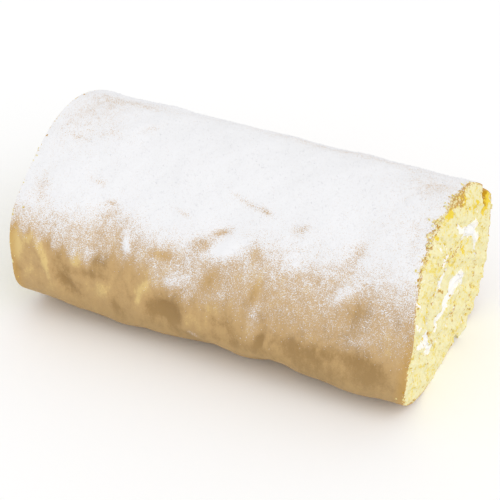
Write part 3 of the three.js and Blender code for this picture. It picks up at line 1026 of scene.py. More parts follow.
def smear_cover(facts, y, z):
    """Share of the crumb that the knife has smeared with cream."""
    inner = facts["winding"] < SKIN_FROM
    creamed = bell(1 - facts["depth"], SMEAR_FROM_CREAMED)
    beside = creamed + inner * bell(facts["depth"], SMEAR_FROM_BROWNED)
    return np.clip(SMEAR_BESIDE * np.clip(beside, 0, 1) + ovals(SMEARS, y, z), 0, 1)


def loose_cover(facts, top, on_skin):
    """How thickly loose crumbs lie: along the torn rim on top, and on the cut faces."""
    beside = on_skin * np.exp(-facts["rim"] / LOOSE_REACH) * (LOOSE_PLAIN_RIM + top)
    return np.clip(beside + LOOSE_ON_CUTS * np.abs(facts["side"]) * (1 - on_skin), 0, 1)


def cream_mesh(shift):
    """The Blender mesh of the cream, with how much crumb the knife has dragged over its ends."""
    surface = cream_surface()
    made = surface.mesh("cream_spiral", shift)
    x, y, z = np.concatenate(surface.points).T
    cut = np.abs(x) > LENGTH / 4
    dragged = (DRAGGED_MOST - ovals(CREAM_SHOWS, y, z)).clip(DRAGGED_LEAST, 1)
    set_attribute(made, "dragged", cut * dragged)
    return made


def cream_surface():
    """The cream from the heart of the roll out to the tucked end, as one closed surface."""
    heart_from = TURN / 2 + HEART_TIP
    heart_to = TURN + SHEET_START
    in_heart = spaced(heart_from, heart_to, HEART_STEP)
    in_band = np.append(spaced(heart_to, CREAM_END, INNER_STEP), CREAM_END)
    outer = np.concatenate([in_heart, in_band])
    share = (in_heart - heart_from) / (heart_to - heart_from) / HEART_FAN_FROM
    in_fold = mix(TURN / 2 - HEART_TIP, SHEET_START, np.minimum(share, 1))
    inner = np.concatenate([in_fold, in_band - TURN])
    across = np.arange(CREAM_LAYERS + 1) / CREAM_LAYERS
    hearted = np.arange(len(outer)) < len(in_heart)

    def point(i, j, x):
        outside = placed(*creamed_face(outer[i]), outer[i], x)
        round_heart = placed(*creamed_face(inner[i]), inner[i], x)
        round_band = placed(*browned_face(inner[i]), inner[i], x)
        inside = [np.where(hearted[i], a, b) for a, b in zip(round_heart, round_band)]
        y = mix(outside[0], inside[0], across[j])
        return np.stack([x + 0 * y, y, mix(outside[1], inside[1], across[j])], axis=-1)

    surface = Surface()
    i, j = np.meshgrid(np.arange(len(outer)), np.arange(CREAM_LAYERS + 1), indexing="ij")
    ends = {}
    for side in (-1, 1):
        places = outer[i] + CREAM_RUFFLE_DRIFT * j
        seed = CREAM_RUFFLE_SEED + side
        ruffle = CREAM_RUFFLE * rough_line(places, CREAM_RUFFLE_SIZE, seed)
        dome = CREAM_RUFFLE * (2 * np.sin(math.pi * across[j]) - 1)
        x = side * (LENGTH / 2 - CREAM_SUNK + ruffle + dome)
        ends[side] = surface.add(point(i, j, x))
    last = len(outer) - 1
    path = [(k, 0) for k in range(last)] + [(last, k) for k in range(CREAM_LAYERS)]
    path += [(k, CREAM_LAYERS) for k in range(last, 0, -1)]
    path += [(0, k) for k in range(CREAM_LAYERS, 0, -1)]
    rows = []
    for k, m in path:
        middle = surface.add(point(np.array([k]), np.array([m]), np.zeros(1)))
        rows.append(np.array([ends[-1][k, m], middle[0], ends[1][k, m]]))
    for row, following in zip(rows, rows[1:] + rows[:1]):
        surface.stitch(row, following)
    for side, numbers in ends.items():
        surface.close_end(side, numbers)
    return surface


def skin_frame(x, girth, shift):
    """A point of the skin and the directions along the roll, round it and out of it."""

    def at(px, pg):
        y, z = sheet_point(winding_of(pg), 0, px)
        return np.array([px, float(y), float(z)]) + shift

    step = 0.5
    here = at(x, girth)
    along = at(x + step, girth) - at(x - step, girth)
    round_ = at(x, girth + step) - at(x, girth - step)
    along /= np.linalg.norm(along)
    round_ /= np.linalg.norm(round_)
    return here, along, round_, np.cross(along, round_)


def flake_mesh(flakes, shift):
    """Thin curled flakes of skin, each a closed shell, torn up beside the cuts."""
    surface = Surface()
    spans_long, spans_wide = FLAKE_SPANS
    ragged, teeth, tooth_knots = FLAKE_RAGGED
    ripple, waves_across, waves_along, wave_knots, wave_seed = FLAKE_RIPPLES
    edge, edge_gain = FLAKE_SIDES
    u, v = np.meshgrid(np.arange(spans_long + 1) / spans_long,
                       np.arange(spans_wide + 1) / spans_wide - 0.5, indexing="ij")
    for number, (side, girth, back, heading, long, wide, lift, curl) in enumerate(flakes):
        rim = float(end_x(side, winding_of(np.array([girth])), np.zeros(1))[0])
        here, along, round_, out = skin_frame(rim - side * back, girth, shift)
        c, s = math.cos(heading * RADIAN), math.sin(heading * RADIAN)
        forward = along * c + round_ * s
        sideways = round_ * c - along * s
        side_knots = u * teeth + number * tooth_knots
        taper = 1 - FLAKE_TAPER * u ** 2 + ragged * rough_line(side_knots, 1, number)
        bend = curl * u
        ahead = long * np.sin(bend) / curl
        rise = long * (1 - np.cos(bend)) / curl * FLAKE_CURL_RISE + lift * u
        knots = v * waves_across + u * waves_along + number * wave_knots
        rise = rise + ripple * rough_line(knots, 1, wave_seed + number)
        middle = (here + ahead[..., None] * forward + (v * wide * taper)[..., None] * sideways
                  + rise[..., None] * out)
        thick = np.minimum(1, edge_gain * (0.5 - np.abs(v)) + edge)
        half = FLAKE_THICKNESS / 2 * thick[..., None]
        top = surface.add(middle + half * out)
        below = surface.add(middle - half * out)
        for k in range(spans_long):
            surface.stitch(top[k][::-1], top[k + 1][::-1])
            surface.stitch(below[k], below[k + 1])
            surface.stitch(np.array([top[k, 0], below[k, 0]]),
                           np.array([top[k + 1, 0], below[k + 1, 0]]))
            surface.stitch(np.array([below[k, -1], top[k, -1]]),
                           np.array([below[k + 1, -1], top[k + 1, -1]]))
        surface.stitch(top[0], below[0])
        surface.stitch(below[-1], top[-1])
    return surface.mesh("torn_flakes", np.zeros(3))


def lump_mesh(name, stretch, seed, subdivided):
    """A small uneven lump about 1 unit in radius: an octahedron, subdivided or not."""
    corners = [(1, 0, 0), (-1, 0, 0), (0, 1, 0), (0, -1, 0), (0, 0, 1), (0, 0, -1)]
    faces = [(0, 2, 4), (2, 1, 4), (1, 3, 4), (3, 0, 4), (2, 0, 5), (1, 2, 5), (3, 1, 5), (0, 3, 5)]
    for _ in range(subdivided):
        corners, faces = split_faces(corners, faces)
    draw = np.random.default_rng(seed).uniform(1 - stretch, 1 + stretch, (len(corners), 1))
    made = bpy.data.meshes.new(name)
    made.from_pydata(np.array(corners) * draw, [], faces, shade_flat=False)
    return made


def split_faces(corners, faces):
    """Splits each triangle of a ball into four."""
    corners = list(corners)
    halfway = {}

    def middle(a, b):
        key = (min(a, b), max(a, b))
        if key not in halfway:
            point = np.array(corners[a]) + np.array(corners[b])
            halfway[key] = len(corners)
            corners.append(tuple(point / np.linalg.norm(point)))
        return halfway[key]

    finer = []
    for a, b, c in faces:
        ab, bc, ca = middle(a, b), middle(b, c), middle(c, a)
        finer += [(a, ab, ca), (ab, b, bc), (ca, bc, c), (ab, bc, ca)]
    return corners, finer


# --- Node trees --------------------------------------------------------------------------------


def socket(sockets, name):
    """The socket with a name that the node's settings leave in use."""
    if isinstance(name, int):
        return sockets[name]
    return next(s for s in sockets if s.name == name and s.enabled)


class Tree:
    """Adds nodes to a node tree and joins them."""

    def __init__(self, tree):
        self.tree = tree

    def node(self, kind, feeds=None, **settings):
        made = self.tree.nodes.new(kind)
        for name, value in settings.items():
            setattr(made, name, value)
        for name, value in (feeds or {}).items():
            self.feed(socket(made.inputs, name), value)
        return made

    def feed_all(self, node, feeds):
        for name, value in feeds.items():
            self.feed(node.inputs[name], value)

    def feed(self, target, value):
        if isinstance(value, bpy.types.NodeSocket):
            self.tree.links.new(value, target)
        else:
            target.default_value = value

    def math(self, operation, *values):
        return self.node("ShaderNodeMath", dict(enumerate(values)), operation=operation).outputs[0]

    def swing(self, value, share):
        """A value from 0 to 1, brought round 0 and multiplied."""
        return self.math("MULTIPLY", self.math("SUBTRACT", value, 0.5), share)

    def vector_math(self, operation, feeds):
        return self.node("ShaderNodeVectorMath", feeds, operation=operation).outputs[0]

    def ramp(self, value, low, high, to_low=0.0, to_high=1.0, smooth=True):
        """Maps a value from one range to another, clamped."""
        kind = "SMOOTHSTEP" if smooth else "LINEAR"
        feeds = {"Value": value, "From Min": low, "From Max": high,
                 "To Min": to_low, "To Max": to_high}
        return self.node("ShaderNodeMapRange", feeds, interpolation_type=kind).outputs[0]

    def noise(self, vector, size, detail=2.0, roughness=0.5):
        """Noise with features of about a size in metres."""
        feeds = {"Vector": vector, "Scale": self.per_metre(size), "Detail": detail,
                 "Roughness": roughness}
        return self.node("ShaderNodeTexNoise", feeds).outputs[0]

    def per_metre(self, size):
        if isinstance(size, bpy.types.NodeSocket):
            return self.math("DIVIDE", 1.0, size)
        return 1.0 / size

    def blend(self, factor, first, second):
        feeds = {"Factor": factor, "A": first, "B": second}
        return socket(self.node("ShaderNodeMix", feeds, data_type="RGBA").outputs, "Result")

    def group(self, group, feeds):
        made = self.node("ShaderNodeGroup", node_tree=group)
        self.feed_all(made, feeds)
        return made


def new_group(name, kind, inputs, outputs):
    """A node group with named sockets: {name: (socket kind, default)} in, {name: kind} out."""
    tree = bpy.data.node_groups.new(name, kind)
    for label, (socket_kind, default) in inputs.items():
        made = tree.interface.new_socket(label, in_out="INPUT", socket_type=socket_kind)
        if default is not None:
            made.default_value = default
    for label, socket_kind in outputs.items():
        tree.interface.new_socket(label, in_out="OUTPUT", socket_type=socket_kind)
    entry = tree.nodes.new("NodeGroupInput")
    leave = tree.nodes.new("NodeGroupOutput")
    return Tree(tree), entry.outputs, leave.inputs


def set_input(modifier, name, value):
    """Sets a modifier's input by the identifier of its socket."""
    items = modifier.node_group.interface.items_tree
    found = next(s for s in items if s.item_type == "SOCKET" and s.name == name
                 and s.in_out == "INPUT")
    modifier[found.identifier] = value


def named_value(tree, name, kind="FLOAT"):
    return tree.node("GeometryNodeInputNamedAttribute", {"Name": name}, data_type=kind).outputs[0]


def pits(tree, place, size, chance):
    """Round pits of random size, 1 at their middle, in some of the cells of a cell texture."""
    feeds = {"Vector": place, "Scale": tree.per_metre(size)}
    cells = tree.node("ShaderNodeTexVoronoi", feeds, feature="F1")
    draw = tree.node("FunctionNodeSeparateColor", {0: cells.outputs["Color"]}).outputs[0]
    radius = tree.ramp(draw, 1 - chance, 1.0, *PORE_RADII, smooth=False)
    return tree.ramp(cells.outputs["Distance"], 0.0, radius, 1.0, 0.0)


def sponge_tree():
    """Geometry nodes that open pores in the cut faces, wrinkle the skin, lay the powder on it and
    give each part its material."""
    tree, given, result = new_group("sponge_surface", "GeometryNodeTree", {
        "Geometry": ("NodeSocketGeometry", None),
        "Pore Size": ("NodeSocketFloat", 0.003),
        "Pore Depth": ("NodeSocketFloat", 0.0012),
        "Crumb Size": ("NodeSocketFloat", 0.0014),
        "Crumb Height": ("NodeSocketFloat", 0.0005),
        "Wrinkle Size": ("NodeSocketFloat", 0.006),
        "Wrinkle Height": ("NodeSocketFloat", 0.0003),
        "Powder Height": ("NodeSocketFloat", 0.0003),
        "Skin": ("NodeSocketMaterial", None),
        "Crumb": ("NodeSocketMaterial", None),
    }, {"Geometry": "NodeSocketGeometry"})
    place = tree.node("GeometryNodeInputPosition").outputs[0]
    normal = tree.node("GeometryNodeInputNormal").outputs[0]
    large = pits(tree, place, given["Pore Size"], LARGE_PORE_CHANCE)
    fine_size = tree.math("MULTIPLY", given["Pore Size"], SMALL_PORE_SIZE)
    small = pits(tree, place, fine_size, SMALL_PORE_CHANCE)
    pore = tree.math("MAXIMUM", large, tree.math("MULTIPLY", small, SMALL_PORE_DEPTH))
    lumps = tree.noise(place, given["Crumb Size"], detail=3.0, roughness=0.65)
    lumps = tree.swing(lumps, given["Crumb Height"])
    sunk = tree.math("MULTIPLY", pore, given["Pore Depth"])
    out = tree.math("SUBTRACT", tree.math("MULTIPLY", lumps, 2.0), sunk)
    out = tree.math("MULTIPLY", out, named_value(tree, "crumb"))
    along = tree.math("MULTIPLY", out, named_value(tree, "side"))
    cut_offset = tree.node("ShaderNodeCombineXYZ", {"X": along}).outputs[0]

    wrinkles = tree.noise(place, given["Wrinkle Size"], detail=3.0, roughness=0.55)
    wrinkles = tree.swing(wrinkles, tree.math("MULTIPLY", given["Wrinkle Height"], 2.0))
    powder = tree.noise(place, size=0.0024, roughness=0.6)
    powder = tree.math("MULTIPLY", powder, given["Powder Height"])
    powder = tree.math("MULTIPLY", powder, named_value(tree, "sugar"))
    rise = tree.math("ADD", wrinkles, powder)
    rise = tree.math("MULTIPLY", rise, named_value(tree, "skin"))
    skin_offset = tree.vector_math("SCALE", {0: normal, "Scale": rise})
    offset = tree.vector_math("ADD", {0: cut_offset, 1: skin_offset})

    feeds = {"Geometry": given["Geometry"], "Offset": offset}
    moved = tree.node("GeometryNodeSetPosition", feeds).outputs[0]
    feeds = {"Geometry": moved, "Name": "pore", "Value": pore}
    stored = tree.node("GeometryNodeStoreNamedAttribute", feeds, data_type="FLOAT",
                       domain="POINT").outputs[0]
    angle = tree.node("GeometryNodeInputMeshEdgeAngle").outputs[0]
    feeds = {0: angle, 1: SHARP_EDGE * RADIAN}
    soft = tree.node("FunctionNodeCompare", feeds, data_type="FLOAT",
                     operation="LESS_THAN").outputs[0]
    feeds = {"Geometry": stored, "Shade Smooth": soft}
    smooth = tree.node("GeometryNodeSetShadeSmooth", feeds, domain="EDGE").outputs[0]
    real = tree.node("GeometryNodeRealizeInstances", {"Geometry": smooth}).outputs[0]
    feeds = {"Geometry": real, "Material": given["Crumb"]}
    crumbed = tree.node("GeometryNodeSetMaterial", feeds).outputs[0]
    feeds = {"Geometry": crumbed, "Material": given["Skin"],
             "Selection": named_value(tree, "browned", "BOOLEAN")}
    tree.feed(result["Geometry"], tree.node("GeometryNodeSetMaterial", feeds).outputs[0])
    return tree.tree


def scatter_tree():
    """Geometry nodes that scatter small pieces over a surface, as thickly as an attribute says."""
    tree, given, result = new_group("scattered_pieces", "GeometryNodeTree", {
        "Geometry": ("NodeSocketGeometry", None),
        "Piece": ("NodeSocketObject", None),
        "Where": ("NodeSocketString", "sugar"),
        "Density": ("NodeSocketFloat", 1e5),
        "Size": ("NodeSocketFloat", 0.0003),
        "Size Spread": ("NodeSocketFloat", 0.5),
        "Flatness": ("NodeSocketFloat", 0.7),
        "Lift": ("NodeSocketFloat", 0.0001),
        "Seed": ("NodeSocketInt", 1),
        "Finish": ("NodeSocketMaterial", None),
    }, {"Geometry": "NodeSocketGeometry"})
    where = named_value(tree, given["Where"])
    density = tree.math("MULTIPLY", where, given["Density"])
    feeds = {"Mesh": given["Geometry"], "Density": density, "Seed": given["Seed"]}
    spread = tree.node("GeometryNodeDistributePointsOnFaces", feeds, distribute_method="RANDOM")
    lift = tree.vector_math("SCALE", {0: spread.outputs["Normal"], "Scale": given["Lift"]})
    feeds = {"Geometry": spread.outputs["Points"], "Offset": lift}
    points = tree.node("GeometryNodeSetPosition", feeds).outputs[0]
    feeds = {"Object": given["Piece"], "As Instance": True}
    piece = tree.node("GeometryNodeObjectInfo", feeds).outputs["Geometry"]
    feeds = {"Max": (FULL_CIRCLE, FULL_CIRCLE, FULL_CIRCLE), "Seed": given["Seed"]}
    turned = tree.node("FunctionNodeRandomValue", feeds, data_type="FLOAT_VECTOR")
    least = tree.math("SUBTRACT", 1.0, given["Size Spread"])
    most = tree.math("ADD", 1.0, given["Size Spread"])
    feeds = {"Min": least, "Max": most, "Seed": given["Seed"]}
    drawn = tree.node("FunctionNodeRandomValue", feeds, data_type="FLOAT")
    size = tree.math("MULTIPLY", socket(drawn.outputs, "Value"), given["Size"])
    flat = tree.math("MULTIPLY", size, given["Flatness"])
    scale = tree.node("ShaderNodeCombineXYZ", {"X": size, "Y": size, "Z": flat}).outputs[0]
    feeds = {"Points": points, "Instance": piece, "Scale": scale,
             "Rotation": socket(turned.outputs, "Value")}
    copies = tree.node("GeometryNodeInstanceOnPoints", feeds).outputs[0]
    real = tree.node("GeometryNodeRealizeInstances", {"Geometry": copies}).outputs[0]
    feeds = {"Geometry": real, "Material": given["Finish"]}
    tree.feed(result["Geometry"], tree.node("GeometryNodeSetMaterial", feeds).outputs[0])
    return tree.tree


# --- Materials ---------------------------------------------------------------------------------


def srgb(red, green, blue):
    """A colour given as 0 to 255 on screen, in the linear values that Blender's sockets hold."""
    linear = []
    for value in (red, green, blue):
        share = value / 255
        linear.append(share / 12.92 if share < 0.04045 else ((share + 0.055) / 1.055) ** 2.4)
    return tuple(linear)


def opaque(colour):
    return (colour[0], colour[1], colour[2], 1.0)


def speckle_group():
    """Mask of fine grains that cover a given share of a surface, in uneven patches."""
    tree, given, result = new_group("speckle", "ShaderNodeTree", {
        "Vector": ("NodeSocketVector", None),
        "Cover": ("NodeSocketFloat", 0.5),
        "Grain Size": ("NodeSocketFloat", 0.0005),
        "Patch Size": ("NodeSocketFloat", 0.006),
        "Patchiness": ("NodeSocketFloat", 0.4),
        "Softness": ("NodeSocketFloat", 0.12),
    }, {"Mask": "NodeSocketFloat"})
    grain = tree.noise(given["Vector"], given["Grain Size"], roughness=0.7)
    level = tree.ramp(grain, 0.28, 0.72)
    patch = tree.noise(given["Vector"], given["Patch Size"], detail=3.0, roughness=0.6)
    patch = tree.swing(patch, given["Patchiness"])
    cover = tree.ramp(given["Cover"], 0.0, 1.0, smooth=False)
    part = tree.math("MULTIPLY", cover, tree.math("SUBTRACT", 1.0, cover))
    patch = tree.math("MULTIPLY", patch, tree.math("MULTIPLY", part, 8.0))
    cover = tree.ramp(tree.math("ADD", cover, patch), 0.0, 1.0, -0.15, 1.15, smooth=False)
    low = tree.math("SUBTRACT", level, given["Softness"])
    high = tree.math("ADD", level, given["Softness"])
    tree.feed(result["Mask"], tree.ramp(cover, low, high))
    return tree.tree


def crumb_group():
    """Colour and height of open sponge crumb: painted shade from how deep in a pore a place lies,
    and a painted highlight on the finest raised crumbs.
    """
    tree, given, result = new_group("open_crumb", "ShaderNodeTree", {
        "Vector": ("NodeSocketVector", None),
        "Pore": ("NodeSocketFloat", 0.0),
        "Pale": ("NodeSocketColor", None),
        "Rich": ("NodeSocketColor", None),
        "Pore Shade": ("NodeSocketColor", None),
        "Bright": ("NodeSocketColor", None),
    }, {"Colour": "NodeSocketColor", "Height": "NodeSocketFloat"})
    broad = tree.noise(given["Vector"], size=0.0075, roughness=0.55)
    patch = tree.noise(given["Vector"], size=0.0017, detail=3.0, roughness=0.7)
    fine = tree.noise(given["Vector"], size=0.0006, detail=3.0, roughness=0.75)
    rich = tree.math("ADD", patch, tree.swing(broad, 0.5))
    rich = tree.math("ADD", rich, tree.swing(fine, 0.45))
    rich = tree.ramp(rich, 0.5, 0.66)
    # Painted shade: richer yellow, then golden, the deeper a place lies in a pore
    rich = tree.math("MAXIMUM", rich, tree.ramp(given["Pore"], 0.3, 0.9, 0.0, 0.9))
    colour = tree.blend(rich, given["Pale"], given["Rich"])
    deep = tree.math("MULTIPLY", tree.ramp(given["Pore"], 0.6, 1.0), 0.45)
    colour = tree.blend(deep, colour, given["Pore Shade"])
    # Painted highlight on the finest raised crumbs, kept out of the pores
    bright = tree.math("SUBTRACT", tree.ramp(fine, 0.52, 0.7), tree.ramp(given["Pore"], 0.1, 0.5))
    bright = tree.math("MULTIPLY", tree.math("MAXIMUM", bright, 0.0), 0.75)
    colour = tree.blend(bright, colour, given["Bright"])
    feeds = {"Vector": given["Vector"], "Scale": tree.per_metre(0.0008)}
    cells = tree.node("ShaderNodeTexVoronoi", feeds, feature="F1").outputs["Distance"]
    height = tree.math("ADD", fine, tree.math("MULTIPLY", patch, 1.2))
    height = tree.math("ADD", height, tree.ramp(cells, 0.0, 0.5, 0.0, 0.4))
    tree.feed(result["Colour"], colour)
    tree.feed(result["Height"], height)
    return tree.tree


def new_material(name):
    """A material with a Principled shader: (material, tree, shader, object coordinates)."""
    made = bpy.data.materials.new(name)
    made.use_nodes = True
    tree = Tree(made.node_tree)
    shader = made.node_tree.nodes["Principled BSDF"]
    place = tree.node("ShaderNodeTexCoord").outputs["Object"]
    return made, tree, shader, place


def attribute(tree, name):
    return tree.node("ShaderNodeAttribute", attribute_name=name).outputs["Fac"]


def bump(tree, height, distance, strength=1.0):
    feeds = {"Height": height, "Distance": distance, "Strength": strength}
    return tree.node("ShaderNodeBump", feeds).outputs[0]


def speckled(tree, place, cover, grain, patch, patchiness, softness):
    """Mask of fine grains that cover a share of a surface."""
    feeds = {"Vector": place, "Cover": cover, "Grain Size": grain, "Patch Size": patch,
             "Patchiness": patchiness, "Softness": softness}
    return tree.group(shared_tree("speckle", speckle_group), feeds).outputs["Mask"]


def open_crumb(tree, place, pore, colours):
    """Colour and height of open crumb in the colours of the cake."""
    feeds = {"Vector": place, "Pore": pore, "Pale": opaque(colours.crumb),
             "Rich": opaque(colours.crumb_rich), "Pore Shade": opaque(colours.crumb_pore_shade),
             "Bright": opaque(colours.crumb_highlight)}
    crumb = tree.group(shared_tree("open_crumb", crumb_group), feeds)
    return crumb.outputs["Colour"], crumb.outputs["Height"]


def skin_material(colours):
    """Thin browned skin under icing sugar, torn to yellow crumb along its rim."""
    made, tree, shader, place = new_material("browned_skin")
    streaked = tree.vector_math("MULTIPLY", {0: place, 1: (1.0, 0.5, 0.5)})
    broad = tree.noise(streaked, size=0.012, detail=3.0, roughness=0.6)
    uneven = tree.noise(streaked, size=0.0032, detail=4.0, roughness=0.7)
    fine = tree.noise(place, size=0.00055, detail=3.0, roughness=0.75)
    # The level mixes the skin's own mottling with the painted highlight on folds and painted shade
    # in dents: low levels go to the darker tan, high ones to the lighter yellow tan
    level = attribute(tree, "tone")
    for noise, share in ((broad, 3.0), (uneven, 3.4), (fine, 1.6)):
        level = tree.math("ADD", level, tree.swing(noise, share))
    low = tree.ramp(level, -1.7, 0.1)
    high = tree.ramp(level, 0.0, 1.5)
    colour = tree.blend(low, opaque(colours.skin_dark_and_painted_shade), opaque(colours.skin))
    colour = tree.blend(high, colour, opaque(colours.skin_light_and_painted_highlight))
    freckles = tree.noise(place, size=0.0009, roughness=0.6)
    mottle = tree.math("MULTIPLY", tree.ramp(freckles, 0.58, 0.74), 0.4)
    colour = tree.blend(mottle, colour, opaque(colours.skin_speck))
    # Painted shade: the skin is blended towards a dull olive tan low down, near the floor
    rise = tree.node("ShaderNodeSeparateXYZ", {0: place}).outputs[2]
    shaded = tree.ramp(rise, 0.006, 0.03, 0.6, 0.0)
    colour = tree.blend(shaded, colour, opaque(colours.skin_shaded))
    sugar = attribute(tree, "sugar")
    veiled = tree.ramp(sugar, 0.0, 0.75, 0.0, 0.9, smooth=False)
    colour = tree.blend(veiled, colour, opaque(colours.skin_veiled))

    rim = attribute(tree, "rim")
    toasted = tree.math("MULTIPLY", tree.ramp(rim, 0.6, 5.0, 1.0, 0.0), tree.ramp(sugar, 0.5, 0.1))
    colour = tree.blend(tree.math("MULTIPLY", toasted, 0.6), colour, opaque(colours.crust))
    torn = speckled(tree, place, attribute(tree, "torn"),
                    grain=0.0009, patch=0.003, patchiness=0.7, softness=0.1)
    crumb, _ = open_crumb(tree, place, 0.5, colours)
    toast = tree.noise(place, size=0.0012, roughness=0.6)
    toast = tree.ramp(toast, 0.44, 0.56, 0.0, 0.85)
    crumb = tree.blend(toast, crumb, opaque(colours.crumb_umber))
    powder = speckled(tree, place, sugar,
                      grain=0.00036, patch=0.003, patchiness=0.4, softness=0.22)
    clean = tree.math("SUBTRACT", 1.0, tree.math("MULTIPLY", torn, 0.85))
    powder = tree.math("MULTIPLY", powder, clean)
    colour = tree.blend(torn, colour, crumb)
    colour = tree.blend(powder, colour, opaque(colours.sugar))

    bare = tree.math("SUBTRACT", 1.0, tree.ramp(sugar, 0.4, 0.9))
    height = tree.math("ADD", fine, tree.math("MULTIPLY", uneven, 0.8))
    tree.feed_all(shader, {
        "Base Color": colour,
        "Roughness": tree.ramp(powder, 0.0, 1.0, 0.62, 0.95),
        "Normal": bump(tree, height, 0.0002, tree.ramp(bare, 0.0, 1.0, 0.25, 0.9)),
        "Specular IOR Level": 0.3,
    })
    return made


def crumb_material(colours):
    """Open yellow crumb, browned along the outer face of the sheet and smeared with cream."""
    made, tree, shader, place = new_material("yellow_crumb")
    colour, height = open_crumb(tree, place, attribute(tree, "pore"), colours)
    # Golden, and umber at the bottom of the deepest tear: partly the crumb's colour and partly
    # painted shade
    uneven = tree.noise(place, size=0.0016, detail=3.0, roughness=0.7)
    uneven = tree.math("MULTIPLY", uneven, 2.4)
    deepest = tree.ramp(tree.math("ADD", attribute(tree, "golden"), uneven), 2.3, 3.2)
    golden = tree.blend(deepest, opaque(colours.crumb_golden), opaque(colours.crumb_umber))
    masks = (
        ("golden", golden, 0.0016, 0.7, 0.16),
        ("crust", opaque(colours.crust), 0.0012, 0.8, 0.12),
        ("smear", opaque(colours.smear), 0.0015, 0.5, 0.12),
    )
    for name, paint, grain, patchiness, softness in masks:
        mask = speckled(tree, place, attribute(tree, name), grain=grain, patch=0.0045,
                        patchiness=patchiness, softness=softness)
        colour = tree.blend(mask, colour, paint)
    tree.feed_all(shader, {
        "Base Color": colour,
        "Roughness": tree.ramp(mask, 0.0, 1.0, 0.9, 0.6),
        "Normal": bump(tree, height, 0.0005, 0.6),
        "Specular IOR Level": 0.25,
        "Subsurface Weight": 0.06,
        "Subsurface Radius": (0.0012, 0.0009, 0.0003),
    })
    return made


def cream_material(colours):
    """Smooth whipped cream, under crumb that the knife dragged over it where it is thin."""
    made, tree, shader, place = new_material("lemon_cream")
    soft = tree.noise(place, size=0.003, detail=3.0)
    dragged = speckled(tree, place, attribute(tree, "dragged"),
                       grain=0.0012, patch=0.004, patchiness=0.4, softness=0.12)
    crumb, crumb_height = open_crumb(tree, place, 0.3, colours)
    browned = tree.noise(place, size=0.0013, roughness=0.6)
    browned = tree.ramp(browned, 0.54, 0.62, 0.0, 0.85)
    crumb = tree.blend(browned, crumb, opaque(colours.crust))
    height = tree.math("ADD", soft, tree.math("MULTIPLY", dragged, crumb_height))
    tree.feed_all(shader, {
        "Base Color": tree.blend(dragged, opaque(colours.cream), crumb),
        "Roughness": tree.ramp(dragged, 0.0, 1.0, 0.5, 0.9),
        "Normal": bump(tree, height, 0.0005, 0.6),
        "Subsurface Weight": 0.12,
        "Subsurface Radius": (0.002, 0.0018, 0.0014),
    })
    return made


def sugar_material(colours):
    """Grains of icing sugar."""
    made, tree, shader, place = new_material("icing_sugar")
    tone = tree.ramp(tree.noise(place, size=0.0007, detail=1.0), 0.35, 0.65)
    shade = tuple(value * 0.94 for value in colours.sugar)
    tree.feed_all(shader, {
        "Base Color": tree.blend(tone, opaque(shade), opaque(colours.sugar)),
        "Roughness": 0.95,
        "Specular IOR Level": 0.2,
    })
    return made


def loose_crumb_material(colours):
    """Loose yellow crumbs, some of them with a browned side."""
    made, tree, shader, place = new_material("loose_crumb")
    pore = tree.ramp(tree.noise(place, size=0.0011, roughness=0.6), 0.3, 0.75)
    crumb, height = open_crumb(tree, place, pore, colours)
    browned = tree.ramp(tree.noise(place, size=0.0016), 0.56, 0.64, 0.0, 0.8)
    tree.feed_all(shader, {
        "Base Color": tree.blend(browned, crumb, opaque(colours.crust)),
        "Roughness": 0.9,
        "Normal": bump(tree, height, 0.0002, 0.8),
        "Specular IOR Level": 0.25,
    })
    return made


def flake_material(colours):
    """Flakes of browned skin with yellow crumb and powder clinging to them."""
    made, tree, shader, place = new_material("torn_skin")
    tone = tree.noise(place, size=0.0014, detail=3.0, roughness=0.6)
    colour = tree.blend(tree.ramp(tone, 0.4, 0.6), opaque(colours.crumb_umber),
                        opaque(colours.crust))
    pale = speckled(tree, place, 0.16, grain=0.0009, patch=0.003, patchiness=0.8, softness=0.1)
    tree.feed_all(shader, {
        "Base Color": tree.blend(pale, colour, opaque(colours.crumb)),
        "Roughness": 0.85,
        "Normal": bump(tree, tone, 0.0003, 0.8),
    })
    return made


def floor_material(colours):
    """Plain pale matt floor."""
    made, tree, shader, place = new_material("pale_floor")
    tone = tree.noise(place, size=0.9, detail=1.0)
    darker = tuple(value * 0.99 for value in colours.floor)
    tree.feed_all(shader, {
        "Base Color": tree.blend(tone, opaque(darker), opaque(colours.floor)),
        "Roughness": 1.0,
        "Specular IOR Level": 0.0,
    })
    return made


# --- Making pieces -----------------------------------------------------------------------------


def new_object(name, mesh):
    made = bpy.data.objects.new(name, mesh)
    bpy.context.scene.collection.objects.link(made)
    return made


def grown(base, name, tree, inputs):
    """Runs a geometry node tree on an object's mesh and returns the plain result."""
    modifier = base.modifiers.new(name, "NODES")
    modifier.node_group = tree
    for label, value in inputs.items():
        set_input(modifier, label, value)
    graph = bpy.context.evaluated_depsgraph_get()
    mesh = bpy.data.meshes.new_from_object(base.evaluated_get(graph), depsgraph=graph)
    mesh.name = name
    bpy.data.objects.remove(base)
    return new_object(name, mesh)


def read_points(mesh, name):
    """Values of an attribute at the points of a mesh."""
    values = np.empty(len(mesh.vertices), np.float32)
    mesh.attributes[name].data.foreach_get("value", values)
    return values


def read_heights(mesh):
    """Heights of the points of a mesh, in metres."""
    places = np.empty(len(mesh.vertices) * 3, np.float32)
    mesh.vertices.foreach_get("co", places)
    return places[2::3]


def attribute_area(mesh, name):
    """Area in square metres, each face weighed by the mean of an attribute at its corners."""
    values = read_points(mesh, name)
    mesh.calc_loop_triangles()
    corners = np.empty(len(mesh.loop_triangles) * 3, np.int32)
    mesh.loop_triangles.foreach_get("vertices", corners)
    areas = np.empty(len(mesh.loop_triangles), np.float32)
    mesh.loop_triangles.foreach_get("area", areas)
    return float((values[corners.reshape(-1, 3)].mean(axis=1) * areas).sum())


